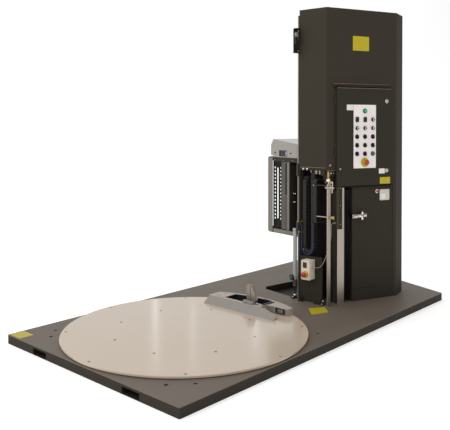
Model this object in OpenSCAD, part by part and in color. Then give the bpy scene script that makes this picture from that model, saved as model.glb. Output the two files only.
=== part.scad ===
// Low-profile turntable pallet wrapper: base, turntable with film clamp, tower and film carriage.
// Millimetres, +Z up, origin on the floor at the middle of the base's box. +X runs from the disc to the tower.

/* [Base] */
// Overall length of the base
base_l = 3296; // [3200:1:3600]
// Width of the base beyond the disc on each side and at its end
base_rim = 8.5; // [5:0.5:40]
// Height of the deck above the floor
base_h = 60; // [58:1:70]
// Length of the angled corner cut along the long side
end_cut_x = 325; // [100:1:380]
// Length of the angled corner cut along the short side
end_cut_y = 900; // [300:1:1000]
// Thickness of the base skirt
skirt_t = 6; // [4:0.5:8]
// Thickness of the deck sheet
deck_t = 5; // [4:0.5:6]
// Thickness of the floor pan
pan_t = 4; // [3:0.5:5]
// Length of the rear deck sheet
rear_l = 606; // [560:1:640]
// Width of a fork pocket
fork_w = 150; // [120:1:170]
// Clear height of a fork pocket
fork_h = 42; // [35:1:44]
// Distance between the two fork pockets
fork_pitch = 898; // [860:1:940]
// Depth of a fork pocket
fork_l = 1200; // [900:1:1300]
// Wall of a fork pocket and of a rib
fork_t = 4; // [3:0.5:5]
// Radius of a floor anchor hole
anchor_r = 8; // [5:0.5:10]
// Distance of the anchor holes from the long sides
anchor_in = 155; // [120:1:190]
// Distance of the first pair of anchor holes from the disc's end
anchor_x = 263; // [220:1:300]
// Distance between the two pairs of anchor holes
anchor_pitch = 1144; // [1000:1:1160]

/* [Turntable] */
// Diameter of the disc
disc_d = 1651; // [1600:1:1660]
// Thickness of the disc
disc_t = 14; // [10:0.5:18]
// Gap between the disc and the deck
disc_gap = 4; // [3:0.5:8]
// Bevel of the disc's rim
disc_bevel = 3; // [1:0.5:4]
// Radius of the ball circle of the slewing bearing
bearing_r = 282; // [276:1:290]
// Diameter of a bearing ball
ball_d = 16; // [12:0.5:18]
// Number of bearing balls
ball_n = 24; // [12:1:30]
// Radial width of the fixed bearing ring
ring_w = 50; // [40:1:56]
// Radius of the belt pulley on the turntable
pulley_r = 320; // [315:1:330]
// Radius of the drive pulley
drive_r = 60; // [50:1:70]
// Width of the drive belt and the lift belt
belt_w = 14; // [10:1:14]
// Thickness of the belts
belt_t = 4; // [2:0.5:5]

/* [Film clamp] */
// Depth of the clamp housing inwards from the disc's rim
clamp_l = 215.5; // [205:0.5:225]
// Step of the end box's front behind the housing's front
clamp_step = 80; // [65:1:90]
// Reach of the clamp housing to the left of the middle
clamp_left = 375; // [350:1:400]
// Reach of the clamp housing to the right of the middle
clamp_right = 335; // [325:1:360]
// Width of the end box
clamp_box_w = 195; // [185:1:200]
// Height of the clamp housing
clamp_h = 50; // [46:1:60]
// Wall of the clamp housing and the ramp
clamp_t = 4; // [3:0.5:5]
// Run of the ramp in front of the housing
ramp_run = 70; // [50:1:90]
// Height of the clamp jaws
jaw_h = 160; // [140:1:180]
// Thickness of the clamp jaws
jaw_t = 20; // [14:1:24]
// Distance of the jaws behind the housing's front
jaw_in = 121; // [112:1:130]
// Place of the clamping faces along the chord
jaw_y = 43; // [30:1:55]
// Radius of the clamp cylinder
clamp_cyl_r = 14; // [12:0.5:16]

/* [Tower] */
// Distance of the tower's front corner from the disc's centre along the base
tower_dx = 1182; // [1170:1:1200]
// Distance of the tower's front corner from the middle of the base
tower_dy = 333; // [320:1:345]
// Turn of the tower's front against the base
tower_turn = 22.75; // [20:0.25:25]
// Height of the tower
tower_h = 2364; // [2300:1:2500]
// Width of the tower's front face
front_w = 672; // [665:1:690]
// Run of the right corner along the front
corner_u = 144; // [138:1:160]
// Run of the right corner to the rear
corner_v = 103; // [80:1:130]
// Depth of the tower
tower_d = 225; // [222:1:232]
// Offset of the left face's rear edge
left_u = 112; // [110:1:118]
// Thickness of the cover sheet
sheet_t = 3; // [2:0.5:4]
// Thickness of the mast plate
mast_t = 8; // [6:0.5:10]
// Height of the open bay's top edge
bay_h = 1100; // [1095:1:1120]
// Width of the open bay on the front face
bay_u = 90; // [86:1:94]
// Height of the lower cover of the left side
lower_cover_h = 420; // [410:1:430]
// Set-back of the lower panel
recess = 3; // [3:0.5:5]
// Left edge of the lower panel
panel_u = 244; // [242:1:255]
// Distance of the drive shaft from the tower's front corner
drive_u = 400; // [380:1:420]
// Distance of the drive shaft behind the front face
drive_v = 124; // [122:1:128]

/* [Control door] */
// Left edge of the door on the front face
door_u = 83; // [82:1:86]
// Width of the door
door_w = 533; // [525:1:540]
// Height of the door's lower edge
door_z = 978; // [970:1:982]
// Height of the door
door_h = 767; // [760:1:775]
// Depth of the door
door_d = 22; // [20:1:26]
// Radius of the door's hinge pins
hinge_r = 3; // [2:0.25:3.5]
// Left edge of the control plate
plate_u = 236; // [230:1:242]
// Width of the control plate
plate_w = 213; // [208:1:220]
// Height of the control plate's lower edge
plate_z = 1114; // [1100:1:1125]
// Height of the control plate
plate_h = 500; // [490:1:510]
// Distance between the columns of controls
grid_u = 75.5; // [70:0.5:80]
// Distance between the rows of controls
grid_z = 67.5; // [64:0.5:70]
// Radius of a dial or selector knob
knob_r = 15; // [12:0.5:18]
// Travel of a push button
press = 4; // [2:0.5:5]

/* [Film carriage] */
// Turn of the carriage's face against the base
carriage_turn = 10; // [8:0.25:12]
// Height of the carriage's underside above the floor
carriage_z = 549; // [545:1:560]
// Depth of the carriage
carriage_b = 430; // [420:1:440]
// Reach of the carriage beside its front corner
carriage_a = 366; // [360:1:374]
// Height between the carriage's underside and its top plate
carriage_h = 637; // [630:1:645]
// Height of the lip round the carriage's plates
lip_h = 37; // [30:1:40]
// Thickness of the carriage's plates
plate_t = 5; // [4:0.5:6]
// Height of the motor hood
hood_h = 151; // [140:1:160]
// Depth of the motor hood
hood_b = 300; // [280:1:320]
// Radius of the first pre-stretch roller
roller_1_r = 27; // [24:0.5:28]
// Radius of the second pre-stretch roller
roller_2_r = 32; // [28:0.5:33]
// Radius of the idler roller
idler_r = 20; // [16:0.5:24]
// Radius of the roller journals
journal_r = 8; // [6:0.5:9]
// Radius of the film mandrel
mandrel_r = 36; // [33:0.5:38]
// Radius of a hole in the perforated guard
guard_hole_r = 9; // [7:0.5:11]
// Number of holes in a column of the perforated guard
guard_n = 15; // [10:1:15]

/* [Small parts] */
// Radius of the blue air hose
hose_r = 4; // [3:0.5:5]
// Radius of the stop box's cable
cable_r = 3; // [2:0.5:4]
// Pitch of the drag chain
chain_p = 29; // [27:0.5:30]
// Width of the drag chain
chain_w = 40; // [34:1:44]
// Bend radius of the drag chain
chain_bend = 38; // [36:1:40]

/* [Hidden] */
$fn = 48;

// Clearances
run_c = 0.05;
slip_c = 0.3;
tangent_c = 0.02;
cut = 1;

// Colours
tower_paint = "#3f3a36";
deck_paint = "#6b625a";
base_paint = "#302d28";
bright_steel = "#a59b8c";
black_plastic = "#1c1b1a";
light_grey = "#a5a09d";
red_plastic = "#c42a26";

// Base outline, heights and the disc's place
base_x0 = -base_l / 2;
base_x1 = base_l / 2;
disc_r = disc_d / 2;
base_w = disc_d + 2 * base_rim;
seam_x = base_l - rear_l;
clamp_x = disc_r - clamp_l;
clamp_box_x = clamp_x + clamp_step;
jaw_x = clamp_x + jaw_in;
base_y0 = -base_w / 2;
base_y1 = base_w / 2;
base_pts = [[base_x0, base_y0], [base_x1 - end_cut_x, base_y0], [base_x1, base_y0 + end_cut_y],
    [base_x1, base_y1], [base_x0, base_y1]];
deck_z0 = base_h - deck_t;
disc_x = base_x0 + disc_r + base_rim;
disc_z0 = base_h + disc_gap;
disc_z1 = disc_z0 + disc_t;
race_z = (pan_t + disc_z0) / 2;
race_gap = 4;
cage_t = 2.8;
belt_deck_gap = 2;
belt_z1 = deck_z0 - belt_deck_gap;
belt_z0 = belt_z1 - belt_w;
deck_hole_r = pulley_r + belt_t + 12;

// Tower outline: front face along u, depth along v
tower_x = disc_x + tower_dx;
tower_y = -tower_dy;
right_u = front_w + corner_u;
tower_pts = [[0, 0], [front_w, 0], [right_u, corner_v], [right_u, tower_d], [-left_u, tower_d]];
mast_v0 = tower_d - mast_t;
left_ang = atan2(tower_d, -left_u);
drive_pt = tower_at(drive_u, drive_v);

// Rails, trolley and lift
rail_w = 30;
rail_t = 10;
spacer_w = 10;
spacer_t = 16;
rail_u1 = rail_w / 2 - left_u + 4;
rail_u2 = 345;
rail_v0 = tower_d + spacer_t;
rail_v1 = rail_v0 + rail_t;
shoe_side = 6;
shoe_back = 4;
trolley_v0 = rail_v1 + 11;
trolley_t = 8;
trolley_v1 = trolley_v0 + trolley_t;
lift_u = 130;
lift_r = 40;
lift_v0 = tower_d + 7;
lift_z0 = 140;
lift_z1 = tower_h - 114;
shaft_r = 10;
arm_u0 = -70;
arm_w = 24;
slot_side = 6;
arm_in = 50;

// Carriage frame: b runs to the rear, a to the outside, from the carriage's front corner
carriage_u = -87;
carriage_v = 320;
carriage_skew = tower_turn - carriage_turn;
gate_r = 40;
plan_y0 = -(carriage_v - trolley_v1) / cos(carriage_skew);
plan_y1 = plan_y0 - carriage_b * tan(carriage_skew);
carriage_pts = [[0, plan_y0], [carriage_b, plan_y1], [carriage_b, carriage_a], [gate_r, carriage_a],
    [0, carriage_a - gate_r]];
pit_clear = 30;
lift_down = 520;
lift_up = 950;
top_z0 = carriage_h - plate_t;
roller_1_at = [45, 186];
roller_2_at = [70, 125];
idler_at = [125, 215];
mandrel_at = [300, 130];
gate_at = [gate_r, carriage_a - gate_r + 1];
gate_pin_r = 5;
gate_t = 3;
gate_flat = 44;
gate_pin_at = [gate_r + 14, carriage_a - 10];

// Left face: x along the face from the front corner, y outwards
face_l = norm([left_u, tower_d]);
chain_y = -27;
chain_r = 16;
chain_right = 128;
chain_left = chain_right + 2 * chain_bend;
chain_z = 488;
chain_right_n = 20;
chain_left_n = 18;
chain_bend_n = 4;
chain_top = chain_z + chain_left_n * chain_p;
hose_at = [224, 1];
hose_top = 664;
hose_u = hose_at[0] * cos(left_ang) - hose_at[1] * sin(left_ang);
hose_v = hose_at[0] * sin(left_ang) + hose_at[1] * cos(left_ang);
pivot_at = [97, 2];
pivot_r = 8;
lug_t = 8;
lug_z0 = 690;
lug_z1 = 1024;
bar_l = 114;
bar_w = 40;
bar_t = 10;

// Controls
grid_mid_u = plate_u + plate_w / 2;
pilot_z = plate_z + plate_h - 49;
door_v = -door_d;
face_v = door_v - sheet_t;
stem_r = 3;
hinge_at = [door_u - 7, -door_d / 2];
hinge_zs = [1230, 1640];
knuckle_h = 40;
lock_u = door_u + door_w - 57;
lock_zs = [door_z + 111, door_z + door_h - 100];
lock_r = 9;

function unit(v) = v / norm(v);
function left_normal(a, b) = let (e = unit(b - a)) [-e[1], e[0]];
function meet(p, d, q, e) = p + d * cross(q - p, e) / cross(d, e);
function around(p, i) = p[(i + len(p)) % len(p)];
// Outline moved inwards by d; a negative d moves it outwards
function inset(p, d) = [for (i = [0 : len(p) - 1])
    let (a = around(p, i - 1), b = p[i], c = around(p, i + 1))
    meet(b + left_normal(a, b) * d, b - a, b + left_normal(b, c) * d, c - b)];
function tower_at(u, v) = [tower_x + u * cos(tower_turn) + v * sin(tower_turn),
    tower_y - u * sin(tower_turn) + v * cos(tower_turn)];
function row_z(row) = pilot_z - row * grid_z;
function column_u(column) = grid_mid_u + column * grid_u;

// Smooth route through hand-set points, and a tube swept along it
function blend(a, b, c, d, t) = 0.5 * (2 * b + (c - a) * t + (2 * a - 5 * b + 4 * c - d) * t * t
    + (3 * b - a - 3 * c + d) * t * t * t);
function route(p, n) = [for (i = [0 : len(p) - 2], k = [0 : n - 1])
    blend(p[max(i - 1, 0)], p[i], p[i + 1], p[min(i + 2, len(p) - 1)], k / n), p[len(p) - 1]];
function heading(p, i) = unit(p[min(i + 1, len(p) - 1)] - p[max(i - 1, 0)]);

module tube(p, r, sides, side_axis) {
    rings = [for (i = [0 : len(p) - 1])
        let (t = heading(p, i), n = unit(cross(t, side_axis)), m = cross(n, t))
        for (k = [0 : sides - 1]) p[i] + r * (n * cos(k * 360 / sides) + m * sin(k * 360 / sides))];
    last = (len(p) - 1) * sides;
    wall = [for (i = [0 : len(p) - 2], k = [0 : sides - 1], half = [0, 1])
        let (a = i * sides + k, b = i * sides + (k + 1) % sides)
        half == 0 ? [a, b, b + sides] : [a, b + sides, a + sides]];
    caps = [for (k = [1 : sides - 2], end = [0, 1])
        end == 0 ? [0, k + 1, k] : [last, last + k, last + k + 1]];
    polyhedron(rings, concat(wall, caps), convexity = 6);
}

module at_disc() { translate([disc_x, 0, 0]) children(); }
module on_disc() { translate([disc_x, 0, disc_z1]) children(); }
module at_tower() { translate([tower_x, tower_y, 0]) rotate(-tower_turn) children(); }
module at_left() { at_tower() rotate(left_ang) children(); }
module at_carriage() {
    at_tower() translate([carriage_u, carriage_v, carriage_z]) rotate(carriage_skew) children();
}
// Cylinder along the tower's depth, from v0 to v1
module along_v(u, z, r, v0, v1) { translate([u, v1, z]) rotate([90, 0, 0]) cylinder(r = r, h = v1 - v0); }
// Cylinder along x, from x0 to x1
module along_x(x0, x1, r) { translate([x0, 0, 0]) rotate([0, 90, 0]) cylinder(r = r, h = x1 - x0); }
// Cylinder along y, from y0 to y1
module along_y(y0, y1, r) { translate([0, y0, 0]) rotate([-90, 0, 0]) cylinder(r = r, h = y1 - y0); }
module block(p, q) { translate(p) cube(q - p); }

module pit_plan(extra) {
    translate([tower_x, tower_y]) rotate(-tower_turn) translate([carriage_u, carriage_v])
        rotate(carriage_skew) polygon(inset(carriage_pts, -pit_clear - extra));
}

module anchor_places() {
    for (i = [0, 1], s = [-1, 1])
        translate([base_x0 + anchor_x + i * anchor_pitch, s * (base_w / 2 - anchor_in), 0]) children();
}

module fork_places() { for (s = [-1, 1]) translate([base_x0, s * fork_pitch / 2, 0]) children(); }

rib_xs = [150, 900];
rib_window_side = 20;

module base_frame() color(base_paint) difference() {
    union() {
        linear_extrude(deck_z0) difference() {
            polygon(base_pts);
            polygon(inset(base_pts, skirt_t));
        }
        linear_extrude(pan_t) polygon(inset(base_pts, skirt_t / 2));
        fork_places() translate([skirt_t / 2, -fork_w / 2 - fork_t, 0])
            cube([fork_l + fork_t, fork_w + 2 * fork_t, fork_h + fork_t]);
        for (x = rib_xs) difference() {
            block([x, base_y0 + skirt_t / 2, pan_t / 2], [x + fork_t, base_y1 - skirt_t / 2, deck_z0]);
            block([x - cut, drive_pt[1] - drive_r - belt_t - rib_window_side, pan_t],
                [x + fork_t + cut, rib_window_side, deck_z0 + cut]);
        }
        linear_extrude(deck_z0) difference() {
            pit_plan(fork_t);
            pit_plan(0);
        }
        anchor_places() cylinder(r = anchor_r + fork_t, h = deck_z0);
    }
    fork_places() translate([-cut, -fork_w / 2, pan_t]) cube([fork_l + cut, fork_w, fork_h - pan_t]);
    anchor_places() translate([0, 0, -cut]) cylinder(r = anchor_r, h = base_h);
}

module deck_outline(x0, x1) {
    intersection() {
        polygon(base_pts);
        translate([x0, base_y0]) square([x1 - x0, base_w]);
    }
}

seam_gap = 1;
shaft_hole_r = 20;

module deck() color(deck_paint) translate([0, 0, deck_z0]) linear_extrude(deck_t) {
    difference() {
        deck_outline(base_x0, base_x0 + seam_x);
        translate([disc_x, 0]) circle(r = deck_hole_r);
        pit_plan(0);
        translate(drive_pt) circle(r = shaft_hole_r);
        anchor_places() circle(r = anchor_r);
    }
    deck_outline(base_x0 + seam_x + seam_gap, base_x1);
}

// Ring with a ball groove, from z0 to z1
module race(r0, r1, z0, z1) {
    rotate_extrude() difference() {
        translate([r0, z0]) square([r1 - r0, z1 - z0]);
        translate([bearing_r, race_z]) circle(r = ball_d / 2 + run_c);
    }
}

module bearing_ring() color(bright_steel) at_disc()
    race(bearing_r - ring_w / 2, bearing_r + ring_w / 2, pan_t, race_z - race_gap / 2);

module table_pulley() color(base_paint) at_disc()
    race(bearing_r - ring_w / 2, pulley_r, race_z + race_gap / 2, disc_z0);

module ball_cage() color("#b08d46") at_disc() {
    difference() {
        translate([0, 0, race_z - cage_t / 2]) difference() {
            cylinder(r = bearing_r + ball_d * 0.7, h = cage_t);
            translate([0, 0, -cut]) cylinder(r = bearing_r - ball_d * 0.7, h = cage_t + 2 * cut);
        }
        for (i = [0 : ball_n - 1]) rotate(i * 360 / ball_n) translate([bearing_r, 0, 0])
            cylinder(r = ball_d / 2 + slip_c, h = disc_z0);
    }
    for (i = [0 : ball_n - 1]) rotate(i * 360 / ball_n) translate([bearing_r, 0, race_z]) sphere(d = ball_d);
}

module turntable_disc() color("#cdbeaf") at_disc() rotate_extrude()
    polygon([[0, disc_z0], [disc_r - disc_bevel / 2, disc_z0], [disc_r, disc_z0 + disc_bevel / 2],
        [disc_r, disc_z1 - disc_bevel], [disc_r - disc_bevel, disc_z1], [0, disc_z1]]);

// Outline of an open belt round two pulleys: p at the origin, q at distance d along x
module belt_plan(p, q, d) {
    lean = acos((p - q) / d);
    pr = p - tangent_c;
    qr = q - tangent_c;
    circle(r = p);
    translate([d, 0]) circle(r = q);
    polygon([[pr * cos(lean), pr * sin(lean)], [pr * cos(lean), -pr * sin(lean)],
        [d + qr * cos(lean), -qr * sin(lean)], [d + qr * cos(lean), qr * sin(lean)]]);
}

drive_reach = norm([drive_pt[0] - disc_x, drive_pt[1]]);
drive_ang = atan2(drive_pt[1], drive_pt[0] - disc_x);

module drive_belt() color(black_plastic) at_disc() rotate(drive_ang) translate([0, 0, belt_z0])
    linear_extrude(belt_w) difference() {
        belt_plan(pulley_r + slip_c + belt_t, drive_r + slip_c + belt_t, drive_reach);
        belt_plan(pulley_r + slip_c, drive_r + slip_c, drive_reach);
    }

motor_w = 150;
motor_shaft_z = base_h + 60;

module drive_pulley() color(bright_steel) translate(drive_pt) {
    translate([0, 0, belt_z0 - 2]) cylinder(r = drive_r, h = belt_w + 3);
    translate([0, 0, belt_z0]) cylinder(r = shaft_r, h = motor_shaft_z - belt_z0);
}

module table_gearmotor() color("#4a5560") at_tower() translate([drive_u, drive_v, base_h]) difference() {
    union() {
        block([-motor_w / 2, -motor_w / 2, 0], [motor_w / 2, motor_w / 2, 110]);
        cylinder(r = 66, h = 330);
        for (i = [0 : 17]) rotate(i * 20) block([60, -2, 130], [71, 2, 300]);
        translate([0, 0, 330]) cylinder(r = 60, h = 20);
    }
    translate([0, 0, -cut]) cylinder(r = shaft_r + run_c, h = motor_shaft_z - base_h + 2 * cut);
}

// Film clamp on the disc
clamp_edge = 4;
clamp_plan_pts = [[clamp_x, clamp_box_w - clamp_right], [clamp_box_x, clamp_box_w - clamp_right],
    [clamp_box_x, -clamp_right], [disc_d, -clamp_right], [disc_d, clamp_left], [clamp_x, clamp_left]];
mouth_side = 30;
mouth_l = 180;
mouth_w = 410;
box_side = 30;

module clamp_plan(d) {
    intersection() {
        circle(r = disc_r - clamp_edge - d, $fn = 96);
        polygon(inset(clamp_plan_pts, d));
    }
}

module clamp_housing() color("#c9bfb4") on_disc() difference() {
    linear_extrude(clamp_h) clamp_plan(0);
    translate([0, 0, -cut]) linear_extrude(clamp_h - clamp_t + cut) clamp_plan(clamp_t);
    translate([0, 0, clamp_h / 2]) linear_extrude(clamp_h) intersection() {
        clamp_plan(mouth_side);
        translate([clamp_x, clamp_box_w - clamp_right + mouth_side]) square([mouth_l, mouth_w]);
    }
    block([clamp_box_x - cut, box_side - clamp_right, 8],
        [clamp_box_x + clamp_t + cut, clamp_box_w / 2 - clamp_right + 8, clamp_h - 8]);
}

ramp_x = clamp_x - ramp_run;
ramp_side = 8;

module clamp_ramp() color("#b3ada8") on_disc() intersection() {
    translate([0, clamp_left, 0]) rotate([90, 0, 0]) linear_extrude(clamp_left + clamp_right)
        polygon([[ramp_x, 0], [ramp_x + clamp_t * 1.4, 0], [clamp_x, clamp_h - clamp_t], [clamp_x, clamp_h]]);
    linear_extrude(clamp_h) polygon([[ramp_x, clamp_left - ramp_side], [clamp_x, clamp_left - ramp_side],
        [clamp_x, clamp_box_w - clamp_right - 47], [clamp_x - ramp_run / 2, ramp_side - clamp_right],
        [ramp_x, ramp_side - clamp_right]]);
}

jaw_pin_r = 6;
jaw_pin_y = jaw_y - 33;
jaw_pin_z = 24;
jaw_foot_t = 6;
jaw_cheek = 6;
jaw_hub_r = 15;
jaw_open = 35;
jaw_relief = 15;
cheek_c = 1;

// Extrude an outline in the y, z plane along x, centred on the jaws
module across(t) { translate([jaw_x - t / 2, 0, 0]) rotate([90, 0, 90]) linear_extrude(t) children(); }

module fixed_jaw() color("#bdb4a6") on_disc() {
    fin_w = 36;
    fin_c = 4;
    across(jaw_t) translate([jaw_y + fin_c, 0]) {
        square([fin_w, jaw_h - fin_w / 2]);
        translate([fin_w / 2, jaw_h - fin_w / 2]) circle(d = fin_w);
    }
    cheek_w = jaw_t + 2 * (jaw_cheek + cheek_c);
    across(cheek_w) translate([jaw_pin_y - 24, 0]) square([jaw_y + fin_w - jaw_pin_y + 30, jaw_foot_t]);
    for (s = [-1, 1]) translate([s * (cheek_w - jaw_cheek) / 2, 0, 0]) across(jaw_cheek)
        translate([jaw_pin_y - 12, 0]) square([24, jaw_pin_z + 12]);
    translate([jaw_x, jaw_pin_y, jaw_pin_z]) along_x(-cheek_w / 2, cheek_w / 2, jaw_pin_r);
}

module clamp_jaw() color("#bdb4a6") on_disc() {
    fin_r = 270;
    fin_w = 62;
    across(jaw_t) difference() {
        union() {
            translate([jaw_pin_y, jaw_pin_z]) circle(r = jaw_hub_r);
            intersection() {
                translate([jaw_y - fin_w, jaw_pin_z]) square([fin_w, jaw_h - jaw_pin_z]);
                translate([jaw_y - fin_w + fin_r, 0]) circle(r = fin_r, $fn = 120);
                polygon([[jaw_y, jaw_pin_z], [jaw_y, jaw_h], [jaw_y - fin_w, jaw_h],
                    [jaw_y - fin_w, jaw_pin_z + (jaw_pin_y - jaw_y + fin_w) * tan(jaw_open + jaw_relief)],
                    [jaw_pin_y, jaw_pin_z]]);
            }
        }
        translate([jaw_pin_y, jaw_pin_z]) circle(r = jaw_pin_r + run_c);
    }
}

clamp_rod_r = 5;
clamp_cyl_y0 = 35 - clamp_right;
clamp_cyl_y1 = jaw_pin_y - 170;
clamp_rod_travel = 20;

module clamp_cylinder() color("#d8d8d8") on_disc() translate([jaw_x, 0, 0]) difference() {
    union() {
        translate([0, 0, jaw_pin_z]) along_y(clamp_cyl_y0, clamp_cyl_y1, clamp_cyl_r);
        for (y = [clamp_cyl_y0 + 4, clamp_cyl_y1 - 18])
            block([-clamp_cyl_r - 3, y, 0], [clamp_cyl_r + 3, y + 14, jaw_pin_z]);
    }
    translate([0, 0, jaw_pin_z]) along_y(clamp_cyl_y0 + 6, clamp_cyl_y1 + cut, clamp_rod_r + run_c);
}

module clamp_rod() color("#e4e4e4") on_disc() translate([jaw_x, 0, jaw_pin_z]) {
    along_y(clamp_cyl_y0 + 8 + clamp_rod_travel, jaw_pin_y - jaw_hub_r - slip_c, clamp_rod_r);
    along_y(jaw_pin_y - jaw_hub_r - 22, jaw_pin_y - jaw_hub_r - slip_c, clamp_rod_r + 2);
}

// Tower
lug_u0 = -58;
lug_v0 = 78;
lug_v1 = 118;
lug_c = 2;
part_t = 4;
chain_fix_z = chain_z + chain_right_n * chain_p;

limit_z = tower_h - 342;
limit_h = 194;
limit_w = 56;

// Channel for the upper limit switches on the mast's left edge
module limit_bracket() {
    block([-left_u - limit_w, mast_v0, limit_z], [5 - left_u, mast_v0 + part_t, limit_z + limit_h]);
    for (z = [limit_z, limit_z + limit_h - part_t])
        block([-left_u - limit_w, mast_v0 - 34, z], [-left_u - 6, mast_v0 + part_t, z + part_t]);
    block([-left_u - limit_w, mast_v0 - 34, limit_z + 70], [-left_u - limit_w + 22, mast_v0, limit_z + 124]);
}

module mast() color(tower_paint) {
    at_tower() difference() {
        union() {
            block([4 - left_u, mast_v0, base_h], [right_u, tower_d, tower_h - sheet_t]);
            block([bay_u, sheet_t, base_h], [bay_u + part_t, mast_v0, bay_h]);
            translate([0, 0, bay_h]) linear_extrude(part_t) intersection() {
                polygon(inset(tower_pts, sheet_t));
                translate([-2 * left_u, 0]) square([2 * left_u + bay_u + part_t, tower_d]);
            }
            for (z = [lug_z0, lug_z1]) difference() {
                block([lug_u0, lug_v0, z], [bay_u, lug_v1, z + lug_t]);
                rotate(left_ang) translate([pivot_at[0], pivot_at[1], z - cut])
                    cylinder(r = pivot_r + run_c, h = lug_t + 2 * cut);
                rotate(left_ang) block([chain_right - chain_r - lug_c, chain_y - chain_w, z - cut],
                    [chain_left, chain_y + chain_w / 2 + lug_c, z + lug_t + cut]);
            }
            rotate(left_ang) block([chain_right - chain_r, chain_y - chain_w / 2, chain_fix_z + chain_r],
                [chain_right + chain_r, chain_y + chain_w / 2, bay_h + part_t / 2]);
            block([hose_u - 7, hose_v - 7, hose_top], [hose_u + 7, mast_v0 + part_t, hose_top + 20]);
            for (u = [40, 520]) block([u, mast_v0 - 60, base_h], [u + 160, mast_v0 + part_t, base_h + 12]);
            along_v(lift_u, lift_z0, shaft_r, tower_d - part_t, lift_v0 + belt_w + 6);
            limit_bracket();
        }
        block([arm_u0 - slot_side, mast_v0 - cut, chain_top - lift_down - 30],
            [arm_u0 + arm_w + slot_side, tower_d + cut, chain_top + lift_up + 60]);
        block([arm_u0 - slot_side, tower_d - arm_in - slot_side, bay_h - cut],
            [arm_u0 + arm_w + slot_side, tower_d + cut, bay_h + part_t + cut]);
        along_v(lift_u, lift_z1, shaft_r + run_c, mast_v0 - cut, tower_d + cut);
    }
}

module mast_rails() color("#b9b8b2") at_tower() for (u = [rail_u1, rail_u2]) {
    block([u - spacer_w / 2, tower_d, base_h], [u + spacer_w / 2, rail_v0, tower_h - 40]);
    block([u - rail_w / 2, rail_v0, base_h], [u + rail_w / 2, rail_v1, tower_h - 40]);
}

post_u = bay_u + part_t + 8;
strip_u1 = 148;
strip_z = 640;
opening_u0 = strip_u1 - 18;
opening_in = 16;
right_strip = 32;
gutter_h = 23;
gutter_d = 26;
header_d = 16;
header_h = 22;

module tower_cover() color(tower_paint) at_tower() {
    difference() {
        union() {
            translate([0, 0, base_h]) linear_extrude(tower_h - base_h) difference() {
                polygon(tower_pts);
                polygon(inset(tower_pts, sheet_t));
                translate([-2 * left_u, mast_v0]) square([2 * (right_u + left_u), tower_d]);
            }
            translate([0, 0, tower_h - sheet_t]) linear_extrude(sheet_t) polygon(tower_pts);
        }
        block([-2 * left_u, -cut, base_h - cut], [bay_u, mast_v0 + cut, bay_h]);
        block([bay_u - cut, -cut, base_h - cut], [strip_u1, 2 * sheet_t, strip_z]);
        block([strip_u1 - cut, -cut, base_h - cut], [front_w - right_strip, 2 * sheet_t, door_z + 5]);
        block([opening_u0, -cut, door_z + opening_in + 4],
            [door_u + door_w - opening_in, 2 * sheet_t, door_z + door_h - opening_in]);
    }
    rotate(left_ang) block([6, 0, bay_h], [face_l - 14, header_d, bay_h + sheet_t]);
    rotate(left_ang) block([6, 0, bay_h], [face_l - 14, sheet_t, bay_h + header_h]);
    gutter_z = door_z + door_h + 10;
    block([door_u - 28, -gutter_d, gutter_z], [door_u + door_w, 0, gutter_z + sheet_t]);
    block([door_u - 28, -sheet_t, gutter_z + sheet_t], [door_u + door_w, 0, gutter_z + gutter_h]);
    for (z = hinge_zs) {
        block([hinge_at[0] - 5, hinge_at[1], z - 20], [hinge_at[0] + 5, 0, z - slip_c]);
        translate([hinge_at[0], hinge_at[1], z - 20]) cylinder(r = 2 * hinge_r, h = 20 - slip_c);
        translate([hinge_at[0], hinge_at[1], z - 20]) cylinder(r = hinge_r, h = 20 + knuckle_h);
    }
}

reset_at = [483, door_z - 55];
panel_lap = 8;

kick_h = 98;
kick_d = 2;
kick_side = 14;

module lower_panel() color("#3a3832") at_tower() difference() {
    panel_u1 = front_w - right_strip + panel_lap;
    panel_v = max(recess, sheet_t);
    union() {
        block([panel_u, panel_v, base_h], [panel_u1, panel_v + sheet_t, door_z + 5 + panel_lap]);
        block([panel_u, panel_v, base_h], [panel_u + sheet_t, mast_v0, door_z + 5]);
        block([panel_u, panel_v - kick_d, base_h],
            [panel_u1 - panel_lap - kick_side, panel_v + 1, base_h + kick_h]);
    }
    along_v(reset_at[0], reset_at[1], stem_r + run_c, recess - cut, recess + sheet_t + cut);
}

cover_x0 = 40;
cover_flange = 18;
cover_in = 13;

module lower_cover() color("#302e2b") at_left() {
    block([cover_x0, -sheet_t, base_h], [face_l - cover_in, 0, lower_cover_h]);
    block([cover_x0, -cover_flange, lower_cover_h - sheet_t],
        [face_l - 2 * cover_in, -sheet_t / 2, lower_cover_h]);
    block([cover_x0, -cover_flange, base_h], [cover_x0 + sheet_t, -sheet_t / 2, lower_cover_h]);
    for (x = [cover_x0 + 20, face_l - 60]) difference() {
        block([x, -sheet_t / 2, base_h], [x + 36, 34, base_h + 6]);
        translate([x + 18, 18, base_h - cut]) cylinder(r = 5, h = 8);
    }
}

post_l = 64;
post_d = 40;
post_t = 4;

module support_post() color(bright_steel) at_tower() difference() {
    block([post_u, sheet_t, base_h], [post_u + post_l, sheet_t + post_d, door_z - 14]);
    block([post_u + post_t, sheet_t + post_t, base_h - cut],
        [post_u + post_l - post_t, sheet_t + post_d + cut, door_z]);
}

// Film wiper brush along the post: rows of square strands on a backing strip
brush_back = 8;
brush_v0 = sheet_t + 6;
brush_z0 = base_h + 20;
brush_z1 = door_z - 31;
brush_pitch = 7;
brush_row = 5;
brush_rows = 3;
strand_w = 2.4;
strand_l = 58;
brush_n = floor((brush_z1 - brush_z0 - brush_pitch) / brush_pitch);

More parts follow.
